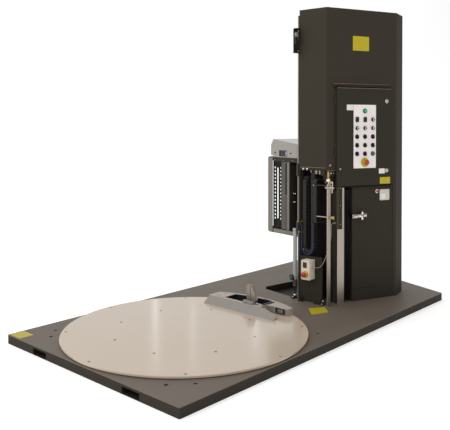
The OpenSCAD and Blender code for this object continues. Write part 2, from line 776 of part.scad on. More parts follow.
module wiper_brush() color(black_plastic) at_tower() translate([post_u + post_l, brush_v0, brush_z0]) {
    block([0, 0, 0], [brush_back, brush_row * brush_rows + strand_w, brush_z1 - brush_z0]);
    for (i = [0 : brush_rows - 1]) translate([brush_back, (i + 0.5) * brush_row, 0]) rotate([90, 0, 0])
        linear_extrude(strand_w) for (k = [0 : brush_n - 1])
            translate([-1, (k + 0.3 + i * 0.33) * brush_pitch])
                square([strand_l + 1 + (k * 7 + i * 5) % 4, strand_w]);
}

// Control door and what it carries
door_sheet = 2;
hinge_gap = 0.5;

module control_door() color(tower_paint) at_tower() difference() {
    union() {
        difference() {
            block([door_u, door_v, door_z], [door_u + door_w, -hinge_gap, door_z + door_h]);
            block([door_u + door_sheet, door_v + door_sheet, door_z + door_sheet],
                [door_u + door_w - door_sheet, cut, door_z + door_h - door_sheet]);
        }
        for (z = hinge_zs) translate([0, 0, z]) {
            translate([hinge_at[0], hinge_at[1], 0]) cylinder(r = 2 * hinge_r, h = knuckle_h);
            block([hinge_at[0], hinge_at[1] - 2, 0], [door_u + door_sheet / 2, hinge_at[1] + 2, knuckle_h]);
        }
    }
    for (z = hinge_zs) translate([hinge_at[0], hinge_at[1], z - cut])
        cylinder(r = hinge_r + run_c, h = knuckle_h + 2 * cut);
    for (z = lock_zs) along_v(lock_u, z, lock_r + run_c, door_v - cut, door_v + door_sheet + cut);
    for (p = stem_places) along_v(p[0], p[1], p[2] + 1, door_v - cut, door_v + door_sheet + cut);
}

module lock_at(z) color("#c8c4bc") at_tower() {
    difference() {
        union() {
            along_v(lock_u, z, lock_r, door_v - 6, 8);
            along_v(lock_u, z, lock_r + 4, door_v - 4, door_v - slip_c);
        }
        along_v(lock_u, z, 4, door_v - 6 - cut, door_v - 2, $fn = 3);
    }
    block([lock_u - 8, 5, z - 45], [lock_u + 8, 8, z]);
}

module upper_lock() lock_at(lock_zs[1]);
module lower_lock() lock_at(lock_zs[0]);

// Places of the dials, the start button and the stop button, with each stem's radius
dial_places = [[column_u(1), row_z(1), stem_r], [column_u(-1), row_z(2), stem_r],
    [column_u(0), row_z(2), stem_r], [column_u(1), row_z(2), stem_r]];
start_place = [column_u(1), row_z(5), stem_r];
stop_place = [grid_mid_u, row_z(6), 2 * stem_r];
stem_places = concat(dial_places, [start_place, stop_place]);
selector_places = [for (row = [3, 4], column = [-1, 0, 1]) [column_u(column), row_z(row)],
    for (column = [-1, 0]) [column_u(column), row_z(5)]];

module control_plate() color("#e0d8d5") at_tower() difference() {
    block([plate_u, face_v, plate_z], [plate_u + plate_w, door_v, plate_z + plate_h]);
    for (p = stem_places) along_v(p[0], p[1], p[2] + run_c, face_v - cut, door_v + cut);
}

module pilot_light() color("#2fb58a") at_tower() {
    along_v(grid_mid_u, pilot_z, knob_r, face_v - 5, face_v);
    along_v(grid_mid_u, pilot_z, knob_r - 3, face_v - 14, face_v - 5);
}

module wrap_counters() color(black_plastic) at_tower() for (column = [-1, 0])
    translate([column_u(column), 0, row_z(1)]) difference() {
        block([-14, face_v - 8, -20], [14, face_v, 20]);
        for (z = [-10, 10]) block([-9, face_v - 8 - cut, z - 6], [9, face_v - 5, z + 6]);
    }

module dial(p) color(black_plastic) at_tower() {
    along_v(p[0], p[1], knob_r, face_v - 8, face_v - slip_c);
    difference() {
        along_v(p[0], p[1], knob_r - 4, face_v - 20, face_v - 8);
        block([p[0] - 1, face_v - 20 - cut, p[1]], [p[0] + 1, face_v - 17, p[1] + knob_r]);
    }
    along_v(p[0], p[1], p[2], face_v - slip_c, door_v);
}

module dial_1() dial(dial_places[0]);
module dial_2() dial(dial_places[1]);
module dial_3() dial(dial_places[2]);
module dial_4() dial(dial_places[3]);

module selectors() color(black_plastic) at_tower() for (p = selector_places) {
    along_v(p[0], p[1], knob_r, face_v - 6, face_v);
    along_v(p[0], p[1], knob_r - 3, face_v - 12, face_v - 6);
    block([p[0] - 4, face_v - 22, p[1] - knob_r + 3], [p[0] + 4, face_v - 12, p[1] + knob_r - 3]);
}

module start_button() color("#23825a") at_tower() {
    along_v(start_place[0], start_place[1], knob_r - 2, face_v - press - 10, face_v - press - slip_c);
    along_v(start_place[0], start_place[1], stem_r, face_v - press - slip_c, door_v);
}

// Mushroom head on its neck along -v, with its stem
neck_r = 12;
neck_h = 20;

module mushroom(u, z, v, stem, stem_end) {
    translate([u, v, z]) rotate([90, 0, 0]) rotate_extrude()
        polygon([[0, press + slip_c], [neck_r, press + slip_c], [neck_r, press + neck_h - 4],
            [20, press + neck_h], [20, press + neck_h + 8], [16, press + neck_h + 14],
            [0, press + neck_h + 16]]);
    along_v(u, z, stem, v - press - 2, stem_end);
}

module stop_button() color(red_plastic) at_tower()
    mushroom(stop_place[0], stop_place[1], face_v, stop_place[2], door_v);

// Air shut-off valve on the lower panel
valve_z = 738;
valve_v = -23;
valve_u0 = panel_u - 24;
valve_u1 = valve_u0 + 122;
valve_stem_r = 5;

module air_valve() color("#b8b2a4") at_tower() difference() {
    union() {
        translate([0, valve_v, valve_z]) {
            along_x(valve_u0, valve_u1, 13);
            along_x(valve_u0 + 10, valve_u0 + 40, 18);
            along_x(valve_u0 + 54, valve_u0 + 78, 17);
        }
        block([valve_u0 + 30, valve_v, valve_z - 10], [valve_u0 + 46, recess, valve_z + 10]);
        along_v(valve_u0 + 66, valve_z, 6, valve_v - 24, valve_v);
    }
    translate([0, valve_v, valve_z]) along_x(valve_u1 - 24, valve_u1 + cut, valve_stem_r + run_c);
    translate([0, valve_v, valve_z]) along_x(valve_u0 - cut, valve_u0 + 30, 6);
}

module valve_handle() color("#c9c2b4") at_tower() translate([0, valve_v, valve_z]) {
    along_x(valve_u1 - 22, valve_u1 + slip_c, valve_stem_r);
    along_x(valve_u1 + slip_c, valve_u1 + 14, 11);
    translate([valve_u1 + 4, 0, 0]) for (i = [0 : 3]) rotate([i * 90 + 45, 0, 0])
        block([0, -4, 0], [8, 4, 20]);
}

module reset_button() color(red_plastic) at_tower() {
    along_v(reset_at[0], reset_at[1], 9, recess - press - 7, recess - press + 1 - slip_c);
    along_v(reset_at[0], reset_at[1], stem_r, recess - press, recess + sheet_t);
}

// Open bay: cutter arm, valves, stop box, drag chain and hose
rod_zs = [742, 986];
rod_r = 6;

module cutter_arm() color("#b5ab9c") at_left() translate([pivot_at[0], pivot_at[1], 0]) {
    translate([0, 0, lug_z0]) cylinder(r = pivot_r, h = lug_z1 + lug_t - lug_z0);
    translate([0, 0, lug_z0 + lug_t + slip_c])
        cylinder(r = pivot_r + 5, h = lug_z1 - lug_z0 - lug_t - 2 * slip_c);
    for (z = rod_zs) translate([0, 0, z]) along_x(-bar_l - 30, 0, rod_r);
    block([-bar_l - bar_t, -bar_w / 2, base_h + 4], [-bar_l, bar_w / 2, rod_zs[1] + 14]);
    translate([0, 0, rod_zs[0]]) along_x(-bar_l - 48, -bar_l - 26, 13, $fn = 6);
    translate([0, 0, rod_zs[1]]) along_y(-rod_r, 30, 5);
}

module valve_bank() color("#8f8a80") at_tower() {
    block([4, 14, bay_h - 40], [86, 58, bay_h]);
    for (i = [0 : 2]) translate([6 + i * 27, 0, 0]) {
        block([0, 18, bay_h - 82], [22, 54, bay_h - 40]);
        translate([11, 36, bay_h - 96]) cylinder(r = 6, h = 14);
        along_v(11, bay_h - 20, 5, 4, 14);
    }
}

box_x0 = 103;
box_w = 76;
box_d = 78;
box_z0 = 250;
box_h = 150;
box_mid = box_x0 + box_w / 2;
box_stop_z = box_z0 + 44;
box_t = 4;
gland_z = box_z0 + 96;
gland_y = 40;
entry_at = [bay_u - 6, 12, 690];

module stop_box() color("#d7c8b9") at_left() {
    difference() {
        block([box_x0, 0, box_z0], [box_x0 + box_w, box_d, box_z0 + box_h]);
        block([box_x0 + box_t, box_t, box_z0 + box_t],
            [box_x0 + box_w - box_t, box_d - box_t, box_z0 + box_h - box_t]);
        translate([box_mid, 0, box_stop_z]) along_y(box_d - box_t - cut, box_d + cut, 2 * stem_r + run_c);
    }
    translate([0, gland_y, gland_z]) along_x(box_x0 - 14, box_x0, 7);
    rotate(-left_ang) translate([0, entry_at[1], entry_at[2]]) along_x(entry_at[0], bay_u, 7);
}

module box_stop_button() color(red_plastic) at_left() rotate(180)
    mushroom(-box_mid, box_stop_z, -box_d, 2 * stem_r, box_t - box_d);

// The cable leaves the box's side, climbs behind the cutter's bar and ends in the bay's partition
cable_route = [[89, 40, 346], [82, 40, 346], [74, 40, 346], [56, 40, 348], [40, 39, 353], [26, 36, 364],
    [14, 30, 382], [4, 21, 408], [-4, 8, 442], [-9, -8, 478], [-12, -26, 514], [-13, -40, 552],
    [-12.7, -49, 592], [-12.4, -51.7, 630], [-12.4, -51.9, 666], [-13.9, -54.8, 678], [-17.8, -62.6, 686.8],
    [-23.12, -73.38, 690], [-24.91, -76.97, 690], [-26.69, -80.54, 690]];
// The hose leaves the mast, hangs in front of the chain's loop and ends under the lower lug
hose_route = [[224, 1, 664], [224, 1, 650], [224, 1, 600], [224, 1, 540], [223, 1, 500],
    [218, 1, 466], [202, 1, 443], [180, 1, 432], [162, 1, 432], [140, 1, 443], [124, 1, 466],
    [119, 1, 500], [118, 1, 560], [118, 1, 620], [118, 1, 670], [118, 1, 690]];

module stop_cable() color("#8c8a86") at_left() tube(route(cable_route, 3), cable_r, 10, [0, 0.3, 1]);
module air_hose() color("#2c3f86") at_left() tube(route(hose_route, 4), hose_r, 10, [0, 1, 0]);

// Pivots of the chain's links along its route, as [x, z, heading]
chain_pivots = concat(
    [for (i = [0 : chain_right_n]) [chain_right, chain_fix_z - i * chain_p, -90]],
    [for (k = [1 : chain_bend_n]) let (t = 180 + k * 180 / chain_bend_n)
        [chain_right + chain_bend + chain_bend * cos(t), chain_z + chain_bend * sin(t), t - 90]],
    [for (i = [1 : chain_left_n]) [chain_left, chain_z + i * chain_p, 90]]);
link_waist = 27;
link_side = 5;

module chain_profile() {
    for (p = chain_pivots) translate([p[0], p[1]]) circle(r = chain_r);
    for (i = [0 : len(chain_pivots) - 2]) {
        p = chain_pivots[i];
        q = chain_pivots[i + 1];
        d = [q[0] - p[0], q[1] - p[1]];
        translate([p[0], p[1]]) rotate(atan2(d[1], d[0])) translate([0, -link_waist / 2])
            square([norm(d), link_waist]);
    }
}

// Bars that join the two sides of a link
module chain_bars() {
    for (i = [0 : len(chain_pivots) - 2]) {
        p = chain_pivots[i];
        q = chain_pivots[i + 1];
        d = [q[0] - p[0], q[1] - p[1]];
        translate([p[0], p[1]]) rotate(atan2(d[1], d[0])) translate([norm(d) / 2 - 5, -link_waist / 2])
            square([10, link_waist]);
    }
}

// Extrude an outline in the x, z plane of the left face along the chain's width
module chain_slab(y0, y1) { translate([0, y1, 0]) rotate([90, 0, 0]) linear_extrude(y1 - y0) children(); }

module drag_chain() color("#232221") at_left() {
    chain_slab(chain_y - chain_w / 2, chain_y - chain_w / 2 + link_side) chain_profile();
    chain_slab(chain_y + chain_w / 2 - link_side, chain_y + chain_w / 2) chain_profile();
    chain_slab(chain_y - chain_w / 2 + link_side, chain_y + chain_w / 2 - link_side) chain_bars();
}

// Film roper beside the tower
roper_u = -left_u;
roper_v = 285;
roper_r = 16;
roper_rod_r = 5;
roper_z0 = 160;
roper_z1 = 624;

module roper_foot() color(black_plastic) at_tower() translate([roper_u, roper_v, base_h]) {
    block([-30, -16, 0], [14, 16, 8]);
    cylinder(r = 14, h = 22);
    cylinder(r = roper_rod_r, h = roper_z1 - base_h - 40);
}

module roper_tube() color("#8d9498") at_tower() translate([roper_u, roper_v, 0]) {
    difference() {
        union() {
            translate([0, 0, roper_z0]) cylinder(r = roper_r, h = roper_z1 - roper_z0);
            translate([0, 0, roper_z0 + 70]) along_x(-roper_r - 30, 0, 6);
            translate([0, 0, roper_z0 + 70]) along_x(-roper_r - 26, -roper_r - 4, 22);
        }
        translate([0, 0, roper_z0 - cut])
            cylinder(r = roper_rod_r + run_c, h = roper_z1 - roper_z0 - 24);
    }
}

// Lift drive on the mast
module lift_gearmotor() color("#4a5560") at_tower() difference() {
    union() {
        block([lift_u - 70, mast_v0 - 90, lift_z1 - 65], [lift_u + 70, mast_v0, lift_z1 + 65]);
        translate([0, mast_v0 - 60, lift_z1]) along_x(lift_u + 70, lift_u + 300, 56);
    }
    along_v(lift_u, lift_z1, shaft_r + run_c, mast_v0 - 21, mast_v0 + cut);
}

module lift_belt() color(black_plastic) at_tower() translate([lift_u, lift_v0 + belt_w, lift_z0])
    rotate([90, -90, 0]) linear_extrude(belt_w) difference() {
        belt_plan(lift_r + slip_c + belt_t, lift_r + slip_c + belt_t, lift_z1 - lift_z0);
        belt_plan(lift_r + slip_c, lift_r + slip_c, lift_z1 - lift_z0);
    }

module upper_pulley() color(bright_steel) at_tower() {
    along_v(lift_u, lift_z1, lift_r, lift_v0 - 1, lift_v0 + belt_w + 1);
    along_v(lift_u, lift_z1, shaft_r, mast_v0 - 20, lift_v0);
}

module lower_pulley() color(bright_steel) at_tower() difference() {
    along_v(lift_u, lift_z0, lift_r, lift_v0 - 1, lift_v0 + belt_w + 1);
    along_v(lift_u, lift_z0, shaft_r + run_c, tower_d, lift_v0 + belt_w + 2);
}

// Film carriage
trolley_u0 = -86;
trolley_u1 = 370;
shoe_h = 100;
shoe_zs = [40, carriage_h - 40 - shoe_h];

module shoe(u) {
    difference() {
        block([u - rail_w / 2 - shoe_side, rail_v0 - shoe_back - slip_c, 0],
            [u + rail_w / 2 + shoe_side, trolley_v0, shoe_h]);
        block([u - rail_w / 2 - slip_c, rail_v0 - slip_c, -cut],
            [u + rail_w / 2 + slip_c, rail_v1 + slip_c, shoe_h + cut]);
        block([u - spacer_w, tower_d, -cut], [u + spacer_w, rail_v0, shoe_h + cut]);
    }
}

belt_side_u = lift_u - lift_r - slip_c - belt_t;

module trolley() color("#2b2927") at_tower() translate([0, 0, carriage_z]) {
    block([trolley_u0, trolley_v0, 20], [trolley_u1, trolley_v1, carriage_h - 20]);
    for (u = [rail_u1, rail_u2], z = shoe_zs) translate([0, 0, z]) shoe(u);
    difference() {
        block([belt_side_u - 10, lift_v0 - 4, 280], [belt_side_u + belt_t + 10, trolley_v0, 340]);
        block([belt_side_u - slip_c, lift_v0 - slip_c, 279],
            [belt_side_u + belt_t + slip_c, lift_v0 + belt_w + slip_c, 341]);
        block([belt_side_u - slip_c, lift_v0 - 5, 279], [belt_side_u + belt_t + slip_c, lift_v0, 341]);
    }
    arm_z = chain_top + chain_r - carriage_z + slip_c;
    block([arm_u0, tower_d - arm_in, arm_z], [arm_u0 + arm_w, trolley_v0, arm_z + 20]);
}

post_w = 20;
post_at = [0, 77];
wall_b = 130;
rear_post_at = [carriage_b - post_w, carriage_a - post_w];

// Plate of the carriage's plan with a lip at the front and the outside
module carriage_plate(z, lip_z) {
    translate([0, 0, z]) linear_extrude(plate_t) polygon(carriage_pts);
    block([0, plan_y0, lip_z], [plate_t, gate_at[1] - gate_flat - 10, lip_z + lip_h]);
    block([gate_pin_at[0] + 20, carriage_a - plate_t, lip_z], [carriage_b, carriage_a, lip_z + lip_h]);
}

module carriage_frame() color("#55534f") at_carriage() difference() {
    union() {
        carriage_plate(0, 0);
        carriage_plate(top_z0, top_z0 + plate_t - lip_h);
        block([post_at[0], post_at[1], plate_t / 2],
            [post_at[0] + post_w, post_at[1] + post_w, top_z0 + plate_t / 2]);
        block([0, post_at[1] - plate_t, plate_t / 2], [wall_b, post_at[1] + 1, top_z0 + plate_t / 2]);
        block([rear_post_at[0], rear_post_at[1], plate_t / 2],
            [rear_post_at[0] + post_w, rear_post_at[1] + post_w, top_z0 + plate_t / 2]);
        block([carriage_b - plate_t, plan_y1 + plate_t * tan(carriage_skew), plate_t / 2],
            [carriage_b, carriage_a, top_z0 + plate_t / 2]);
    }
    for (p = [roller_1_at, roller_2_at, idler_at]) translate([p[0], p[1], -cut])
        cylinder(r = journal_r + run_c, h = carriage_h + 2 * cut);
    translate([mandrel_at[0], mandrel_at[1], -cut]) cylinder(r = journal_r + run_c, h = plate_t + 2 * cut);
    translate([gate_pin_at[0], gate_pin_at[1], -cut])
        cylinder(r = gate_pin_r + run_c, h = carriage_h + 2 * cut);
}

hood_a0 = -26;
hood_a1 = carriage_a - 53;
hood_round = 14;
hood_gap = 14;
hood_gap_w = 36;
window_a0 = 106;
window_w = 91;
window_z0 = 11;
window_h = 44;

module hood_shape(d) {
    intersection() {
        translate([hood_b, 0, 0]) rotate([90, 0, -90]) mirror([1, 0, 0]) linear_extrude(hood_b)
            offset(r = hood_round - d) polygon(inset([[hood_a0, -2 * hood_round], [hood_a1, -2 * hood_round],
                [hood_a1, hood_h - 68], [hood_a1 - 40, hood_h], [hood_a0, hood_h - 38]], hood_round));
        translate([0, 0, -cut]) linear_extrude(hood_h + 2 * cut) offset(r = hood_round - d)
            polygon(inset([[0, hood_a0], [hood_b, hood_a0], [hood_b, hood_a1], [0, hood_a1]], hood_round));
    }
}

module motor_hood() color(light_grey) at_carriage() translate([0, 0, carriage_h]) intersection() {
    difference() {
        hood_shape(0);
        hood_shape(plate_t);
        block([-cut, window_a0, window_z0], [plate_t + cut, window_a0 + window_w, window_z0 + window_h]);
        block([-cut, hood_a1 - hood_gap_w, -cut], [hood_b + cut, hood_a1 + cut, hood_gap]);
    }
    block([-cut, 2 * hood_a0, 0], [hood_b + cut, 2 * hood_a1, 2 * hood_h]);
}

guard_b = 12;
guard_a0 = 178;
guard_a1 = carriage_a - 79;
guard_columns = [192, carriage_a - 102];
guard_pitch = 30.4;
slit_a0 = 221;
slit_w = 18;
guard_mid = carriage_h / 2 + 16;

module perforated_guard() color(black_plastic) at_carriage() difference() {
    union() {
        block([guard_b, guard_a0, plate_t], [guard_b + 3, guard_a1, top_z0]);
        block([guard_b, guard_a0, plate_t], [guard_b + 14, guard_a1, plate_t + 3]);
        block([guard_b, guard_a0, top_z0 - 3], [guard_b + 14, guard_a1, top_z0]);
    }
    for (a = guard_columns, i = [0 : guard_n - 1])
        translate([0, a, guard_mid + (i - (guard_n - 1) / 2) * guard_pitch])
            along_x(guard_b - cut, guard_b + 3 + cut, guard_hole_r);
    half = (guard_n - 1) / 2 * guard_pitch;
    block([guard_b - cut, slit_a0, guard_mid - half], [guard_b + 3 + cut, slit_a0 + slit_w, guard_mid + half]);
}

gate_z0 = plate_t + slip_c;
gate_z1 = top_z0 - slip_c;

module threading_gate() color(light_grey) at_carriage() {
    translate([0, 0, gate_z0]) linear_extrude(gate_z1 - gate_z0) {
        intersection() {
            difference() {
                translate(gate_at) circle(r = gate_r);
                translate(gate_at) circle(r = gate_r - gate_t);
            }
            translate([gate_at[0] - gate_r, gate_at[1]]) square(gate_r);
        }
        translate([gate_at[0] - gate_r, gate_at[1] - gate_flat]) square([gate_t, gate_flat]);
        translate([gate_at[0], gate_at[1] + gate_r - gate_t]) square([gate_pin_at[0] - gate_at[0], gate_t]);
        translate([gate_pin_at[0] - gate_t, gate_pin_at[1]])
            square([gate_t, gate_at[1] + gate_r - gate_pin_at[1]]);
    }
    translate([gate_pin_at[0], gate_pin_at[1], 0]) cylinder(r = gate_pin_r, h = carriage_h);
}

// Roller on two journals between the carriage's plates
module roller(p, r) {
    translate([p[0], p[1], 0]) {
        cylinder(r = journal_r, h = carriage_h);
        translate([0, 0, plate_t + slip_c]) cylinder(r = journal_r + 4, h = top_z0 - plate_t - 2 * slip_c);
        translate([0, 0, lip_h + 4]) cylinder(r = r, h = carriage_h - 2 * lip_h - 8);
    }
}

module prestretch_roller_1() color("#77746f") at_carriage() roller(roller_1_at, roller_1_r);
module prestretch_roller_2() color("#262524") at_carriage() roller(roller_2_at, roller_2_r);
module idler_roller() color("#b4b2ae") at_carriage() roller(idler_at, idler_r);

module film_mandrel() color("#33312f") at_carriage() translate([mandrel_at[0], mandrel_at[1], 0]) {
    cylinder(r = journal_r, h = plate_t + 2);
    translate([0, 0, plate_t + slip_c]) cylinder(r = 105, h = 8);
    translate([0, 0, plate_t + 8]) cylinder(r = mandrel_r, h = 70);
    translate([0, 0, plate_t + 78]) cylinder(r1 = mandrel_r, r2 = mandrel_r - 14, h = 20);
}

base_frame();
deck();
bearing_ring();
ball_cage();
table_pulley();
turntable_disc();
drive_belt();
drive_pulley();
table_gearmotor();
clamp_housing();
clamp_ramp();
fixed_jaw();
clamp_jaw();
clamp_cylinder();
clamp_rod();
mast();
mast_rails();
tower_cover();
lower_panel();
lower_cover();
support_post();
wiper_brush();
control_door();
upper_lock();
lower_lock();
control_plate();
pilot_light();
wrap_counters();
dial_1();
dial_2();
dial_3();
dial_4();
selectors();
start_button();
stop_button();
air_valve();
valve_handle();
reset_button();
cutter_arm();
valve_bank();
stop_box();
box_stop_button();
stop_cable();
drag_chain();
air_hose();
roper_foot();
roper_tube();
lift_gearmotor();
lift_belt();
upper_pulley();
lower_pulley();
trolley();
carriage_frame();
motor_hood();
perforated_guard();
threading_gate();
prestretch_roller_1();
prestretch_roller_2();
idler_roller();
film_mandrel();
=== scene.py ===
import bmesh
import bpy
import math
import random
from mathutils import Matrix, Vector


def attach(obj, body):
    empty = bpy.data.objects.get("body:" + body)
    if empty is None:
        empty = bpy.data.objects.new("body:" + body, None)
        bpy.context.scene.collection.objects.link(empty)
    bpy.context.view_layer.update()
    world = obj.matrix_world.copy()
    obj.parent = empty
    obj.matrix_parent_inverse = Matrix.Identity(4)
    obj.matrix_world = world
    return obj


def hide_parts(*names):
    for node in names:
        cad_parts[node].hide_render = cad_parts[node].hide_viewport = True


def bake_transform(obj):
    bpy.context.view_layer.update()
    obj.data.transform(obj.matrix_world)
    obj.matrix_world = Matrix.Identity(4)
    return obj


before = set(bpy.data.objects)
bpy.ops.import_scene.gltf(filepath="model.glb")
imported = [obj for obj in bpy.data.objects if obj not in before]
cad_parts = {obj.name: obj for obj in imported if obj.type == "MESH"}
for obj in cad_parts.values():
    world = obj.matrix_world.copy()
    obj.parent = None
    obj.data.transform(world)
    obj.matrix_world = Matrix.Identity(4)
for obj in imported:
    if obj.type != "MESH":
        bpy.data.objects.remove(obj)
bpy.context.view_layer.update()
scene = bpy.context.scene
dice = random.Random(11)
mm = 0.001  # pieces are drawn in mm, the scene is in m
softEdge = 40  # edge angle in degrees up to which a round piece looks smooth
print("frame loaded")


# Places of the machine's own frames, in mm
def turned(degrees):
    return Matrix.Rotation(math.radians(degrees), 4, "Z")


world = Matrix.Identity(4)
tower = Matrix.Translation((368, -333, 0)) @ turned(-22.75)
leftFace = tower @ turned(116.46)
carriage = tower @ Matrix.Translation((-87, 320, 549)) @ turned(12.75)
disc = Matrix.Translation((-814, 0, 78))
deckTop = 60
front, outward, up, down = (0, -1, 0), (0, 1, 0), (0, 0, 1), (0, 0, -1)
left, right = (-1, 0, 0), (1, 0, 0)
corners = [(a, b) for a in (-1, 1) for b in (-1, 1)]


# A place on a surface: local +Z looks along the direction
def out(point, direction, spin=0):
    quat = Vector(direction).to_track_quat("Z", "Y").to_matrix().to_4x4()
    return Matrix.Translation(point) @ quat @ turned(spin)


# Camera
photoView = {"sensor": 36, "lens": 52.25, "shiftX": -0.0187, "shiftY": -0.181, "tilt": 0.0143, "heading": 42.274,
             "place": (-3.8437, -3.1910, 1.4609)}
cameraData = bpy.data.cameras.new("camera")
cameraData.sensor_width = photoView["sensor"]
cameraData.lens = photoView["lens"]
cameraData.shift_x = photoView["shiftX"]
cameraData.shift_y = photoView["shiftY"]
cameraData.dof.use_dof = False
camera = bpy.data.objects.new("camera", cameraData)
camera.location = photoView["place"]
camera.rotation_euler = (math.radians(90) - photoView["tilt"], 0, math.radians(photoView["heading"] - 90))
scene.collection.objects.link(camera)
scene.camera = camera
print("camera set")


# Shader helpers
def linear(text):
    parts = [int(text[i:i + 2], 16) / 255 for i in (1, 3, 5)]
    return [p / 12.92 if p <= 0.04045 else ((p + 0.055) / 1.055) ** 2.4 for p in parts] + [1]


def addNode(tree, kind, settings=None, links=None):
    node = tree.nodes.new("ShaderNode" + kind)
    for key, value in (settings or {}).items():
        if isinstance(key, str) and hasattr(node, key):
            setattr(node, key, value)
        else:
            node.inputs[key].default_value = value
    for key, source in (links or {}).items():
        tree.links.new(source, node.inputs[key])
    return node


# One painted, moulded or metal surface: two tones mixed by a soft pattern of spotMm,
# a fine grain of grainMm in the bump, and a roughness that wanders by roughSpread
def surface(name, tone, otherTone, roughness, metallic=0, ior=None, spotMm=80, grainMm=4, bump=0.08,
            stretch=(1, 1, 1), roughSpread=0.06, extra=None):
    made = bpy.data.materials.new(name)
    made.use_nodes = True
    tree = made.node_tree
    shader = tree.nodes["Principled BSDF"]
    shader.inputs["Metallic"].default_value = metallic
    if ior:
        shader.inputs["IOR"].default_value = ior
    for key, value in (extra or {}).items():
        shader.inputs[key].default_value = value
    spots = addNode(tree, "Mapping", {"Scale": stretch},
                    {"Vector": addNode(tree, "TexCoord").outputs["Object"]}).outputs["Vector"]
    soft = addNode(tree, "TexNoise", {"Scale": 1000 / spotMm, "Detail": 5}, {"Vector": spots})
    fine = addNode(tree, "TexNoise", {"Scale": 1000 / grainMm, "Detail": 2}, {"Vector": spots})
    mixed = addNode(tree, "Mix", {"data_type": "RGBA", 6: linear(tone), 7: linear(otherTone)},
                    {0: soft.outputs["Fac"]})
    rough = addNode(tree, "MapRange", {"From Min": 0.3, "From Max": 0.7, "To Min": roughness - roughSpread,
                                       "To Max": roughness + roughSpread}, {"Value": soft.outputs["Fac"]})
    bumped = addNode(tree, "Bump", {"Strength": bump, "Distance": mm}, {"Height": fine.outputs["Fac"]})
    tree.links.new(mixed.outputs[2], shader.inputs["Base Color"])
    tree.links.new(rough.outputs["Result"], shader.inputs["Roughness"])
    tree.links.new(bumped.outputs["Normal"], shader.inputs["Normal"])
    return made


# Matt coats scatter most of what a smooth one would mirror
matt = {"Specular IOR Level": 0.2}
halfMatt = {"Specular IOR Level": 0.32}
# Dark brown-black powder coat: soft broad sheen, orange-peel grain drawn at 6 mm to show at all
towerCoat = surface("towerPowderCoat", "#2e2a21", "#352f26", 0.74, ior=1.5, spotMm=320, grainMm=6, bump=0.06,
                    extra=matt)
# Same coat on the door and lower panels, a shade darker: a shaded copy of the tower's coat, as painted shade
doorCoat = surface("doorPowderCoat", "#29251d", "#2f2a22", 0.74, ior=1.5, spotMm=320, grainMm=6, bump=0.06,
                   extra=matt)
# Same coat inside the bay, much darker and duller: a shaded copy, painted shade of the recessed bay; the same dark
# coat also serves the feet, some screw heads, the clamp's tray and the kick plate's painted shadow line
bayCoat = surface("bayPowderCoat", "#151311", "#211e1a", 0.65, ior=1.5, spotMm=90, grainMm=5, bump=0.08,
                  extra=matt)
# Textured grey-brown deck enamel, scuffed along the machine's length
deckCoat = surface("deckEnamel", "#5a5147", "#6a5f54", 0.58, ior=1.5, spotMm=240, grainMm=5, bump=0.14,
                   stretch=(0.5, 1, 1), extra=halfMatt)
# Near-black enamel of the base's sides with dull wear
baseCoat = surface("baseEnamel", "#241f17", "#2e271d", 0.65, ior=1.5, spotMm=120, grainMm=5, bump=0.12, extra=matt)
# Satin-coated steel of the disc: pale and even, glossy enough to show streaks of light
discSteel = surface("discSatinSteel", "#b1a08e", "#b9a996", 0.16, ior=1.5, spotMm=700, grainMm=30, bump=0,
                    roughSpread=0)
# Galvanised sheet of the clamp's ramp and plates: mid grey, softly mottled
clampZinc = surface("clampGalvanised", "#827c77", "#8f8882", 0.45, metallic=0.35, spotMm=40, grainMm=8, bump=0.05)
# Navy enamel of the clamp's mouth: nearly black, blue only where light grazes it
navyCoat = surface("navyEnamel", "#0f1119", "#171a26", 0.6, ior=1.5, spotMm=60, grainMm=4, extra=matt)
# Cream-grey enamel of the clamp's top: warm, with a low satin sheen
clampCream = surface("clampEnamel", "#94887d", "#a4978b", 0.45, ior=1.5, spotMm=90, grainMm=5)
# Brushed aluminium and bright drawn steel, streaks along the length
brushedSteel = surface("brushedSteel", "#9a9287", "#b3a99c", 0.36, metallic=1, spotMm=10, grainMm=3, bump=0.05,
                       stretch=(1, 1, 0.04))
# Zinc-plated fasteners and pulleys: bright and faintly warm, small soft highlights
zincPlate = surface("zincPlatedSteel", "#aaa59b", "#c0bab0", 0.3, metallic=1, spotMm=14, grainMm=3)
# Painted highlight where a sheet's edge catches the light: a thin dull brown line
edgeHighlight = surface("paintedEdgeHighlight", "#6f6153", "#84745f", 0.5, metallic=0.3, spotMm=30, grainMm=4, bump=0.06)
# Polished chrome: mirrors the studio in crisp light and dark bands
chrome = surface("polishedChrome", "#d5d2cd", "#e6e4e0", 0.1, metallic=1, spotMm=30, grainMm=12, bump=0.01,
                 roughSpread=0.04)
# Turned brass: warm yellow glints
brass = surface("turnedBrass", "#a88644", "#c09a55", 0.26, metallic=1, spotMm=10, grainMm=3, bump=0.03)
# Satin ring of the dials, turned bright
brightRing = surface("satinAluminium", "#cfcac2", "#dcd8d1", 0.4, metallic=0.5, spotMm=12, grainMm=3, bump=0.02)
# Browned steel of the screw heads, darker than the disc round them
screwBrown = surface("brownedSteel", "#5f554b", "#74695d", 0.5, metallic=0.5, spotMm=12, grainMm=3)
# Smooth ground steel of the jaws, warm and a little worn
jawSteel = surface("groundSteel", "#a39a8e", "#aaa196", 0.38, metallic=0.7, spotMm=70, grainMm=12, bump=0.02)
# Cast aluminium: dull grey with a sandy grain
castGrey = surface("castAluminium", "#8b867e", "#9c968d", 0.5, metallic=0.8, spotMm=8, grainMm=2, bump=0.16)
# Dark anodised valve bodies: low metal sheen
valveDark = surface("valveAnodised", "#2f2d2a", "#3b3834", 0.42, metallic=0.5, spotMm=12, grainMm=2, bump=0.05)
# Blue-grey motor enamel with a coarse sprayed grain
motorPaint = surface("motorEnamel", "#3d4750", "#4c5862", 0.45, ior=1.5, spotMm=60, grainMm=4, bump=0.1)
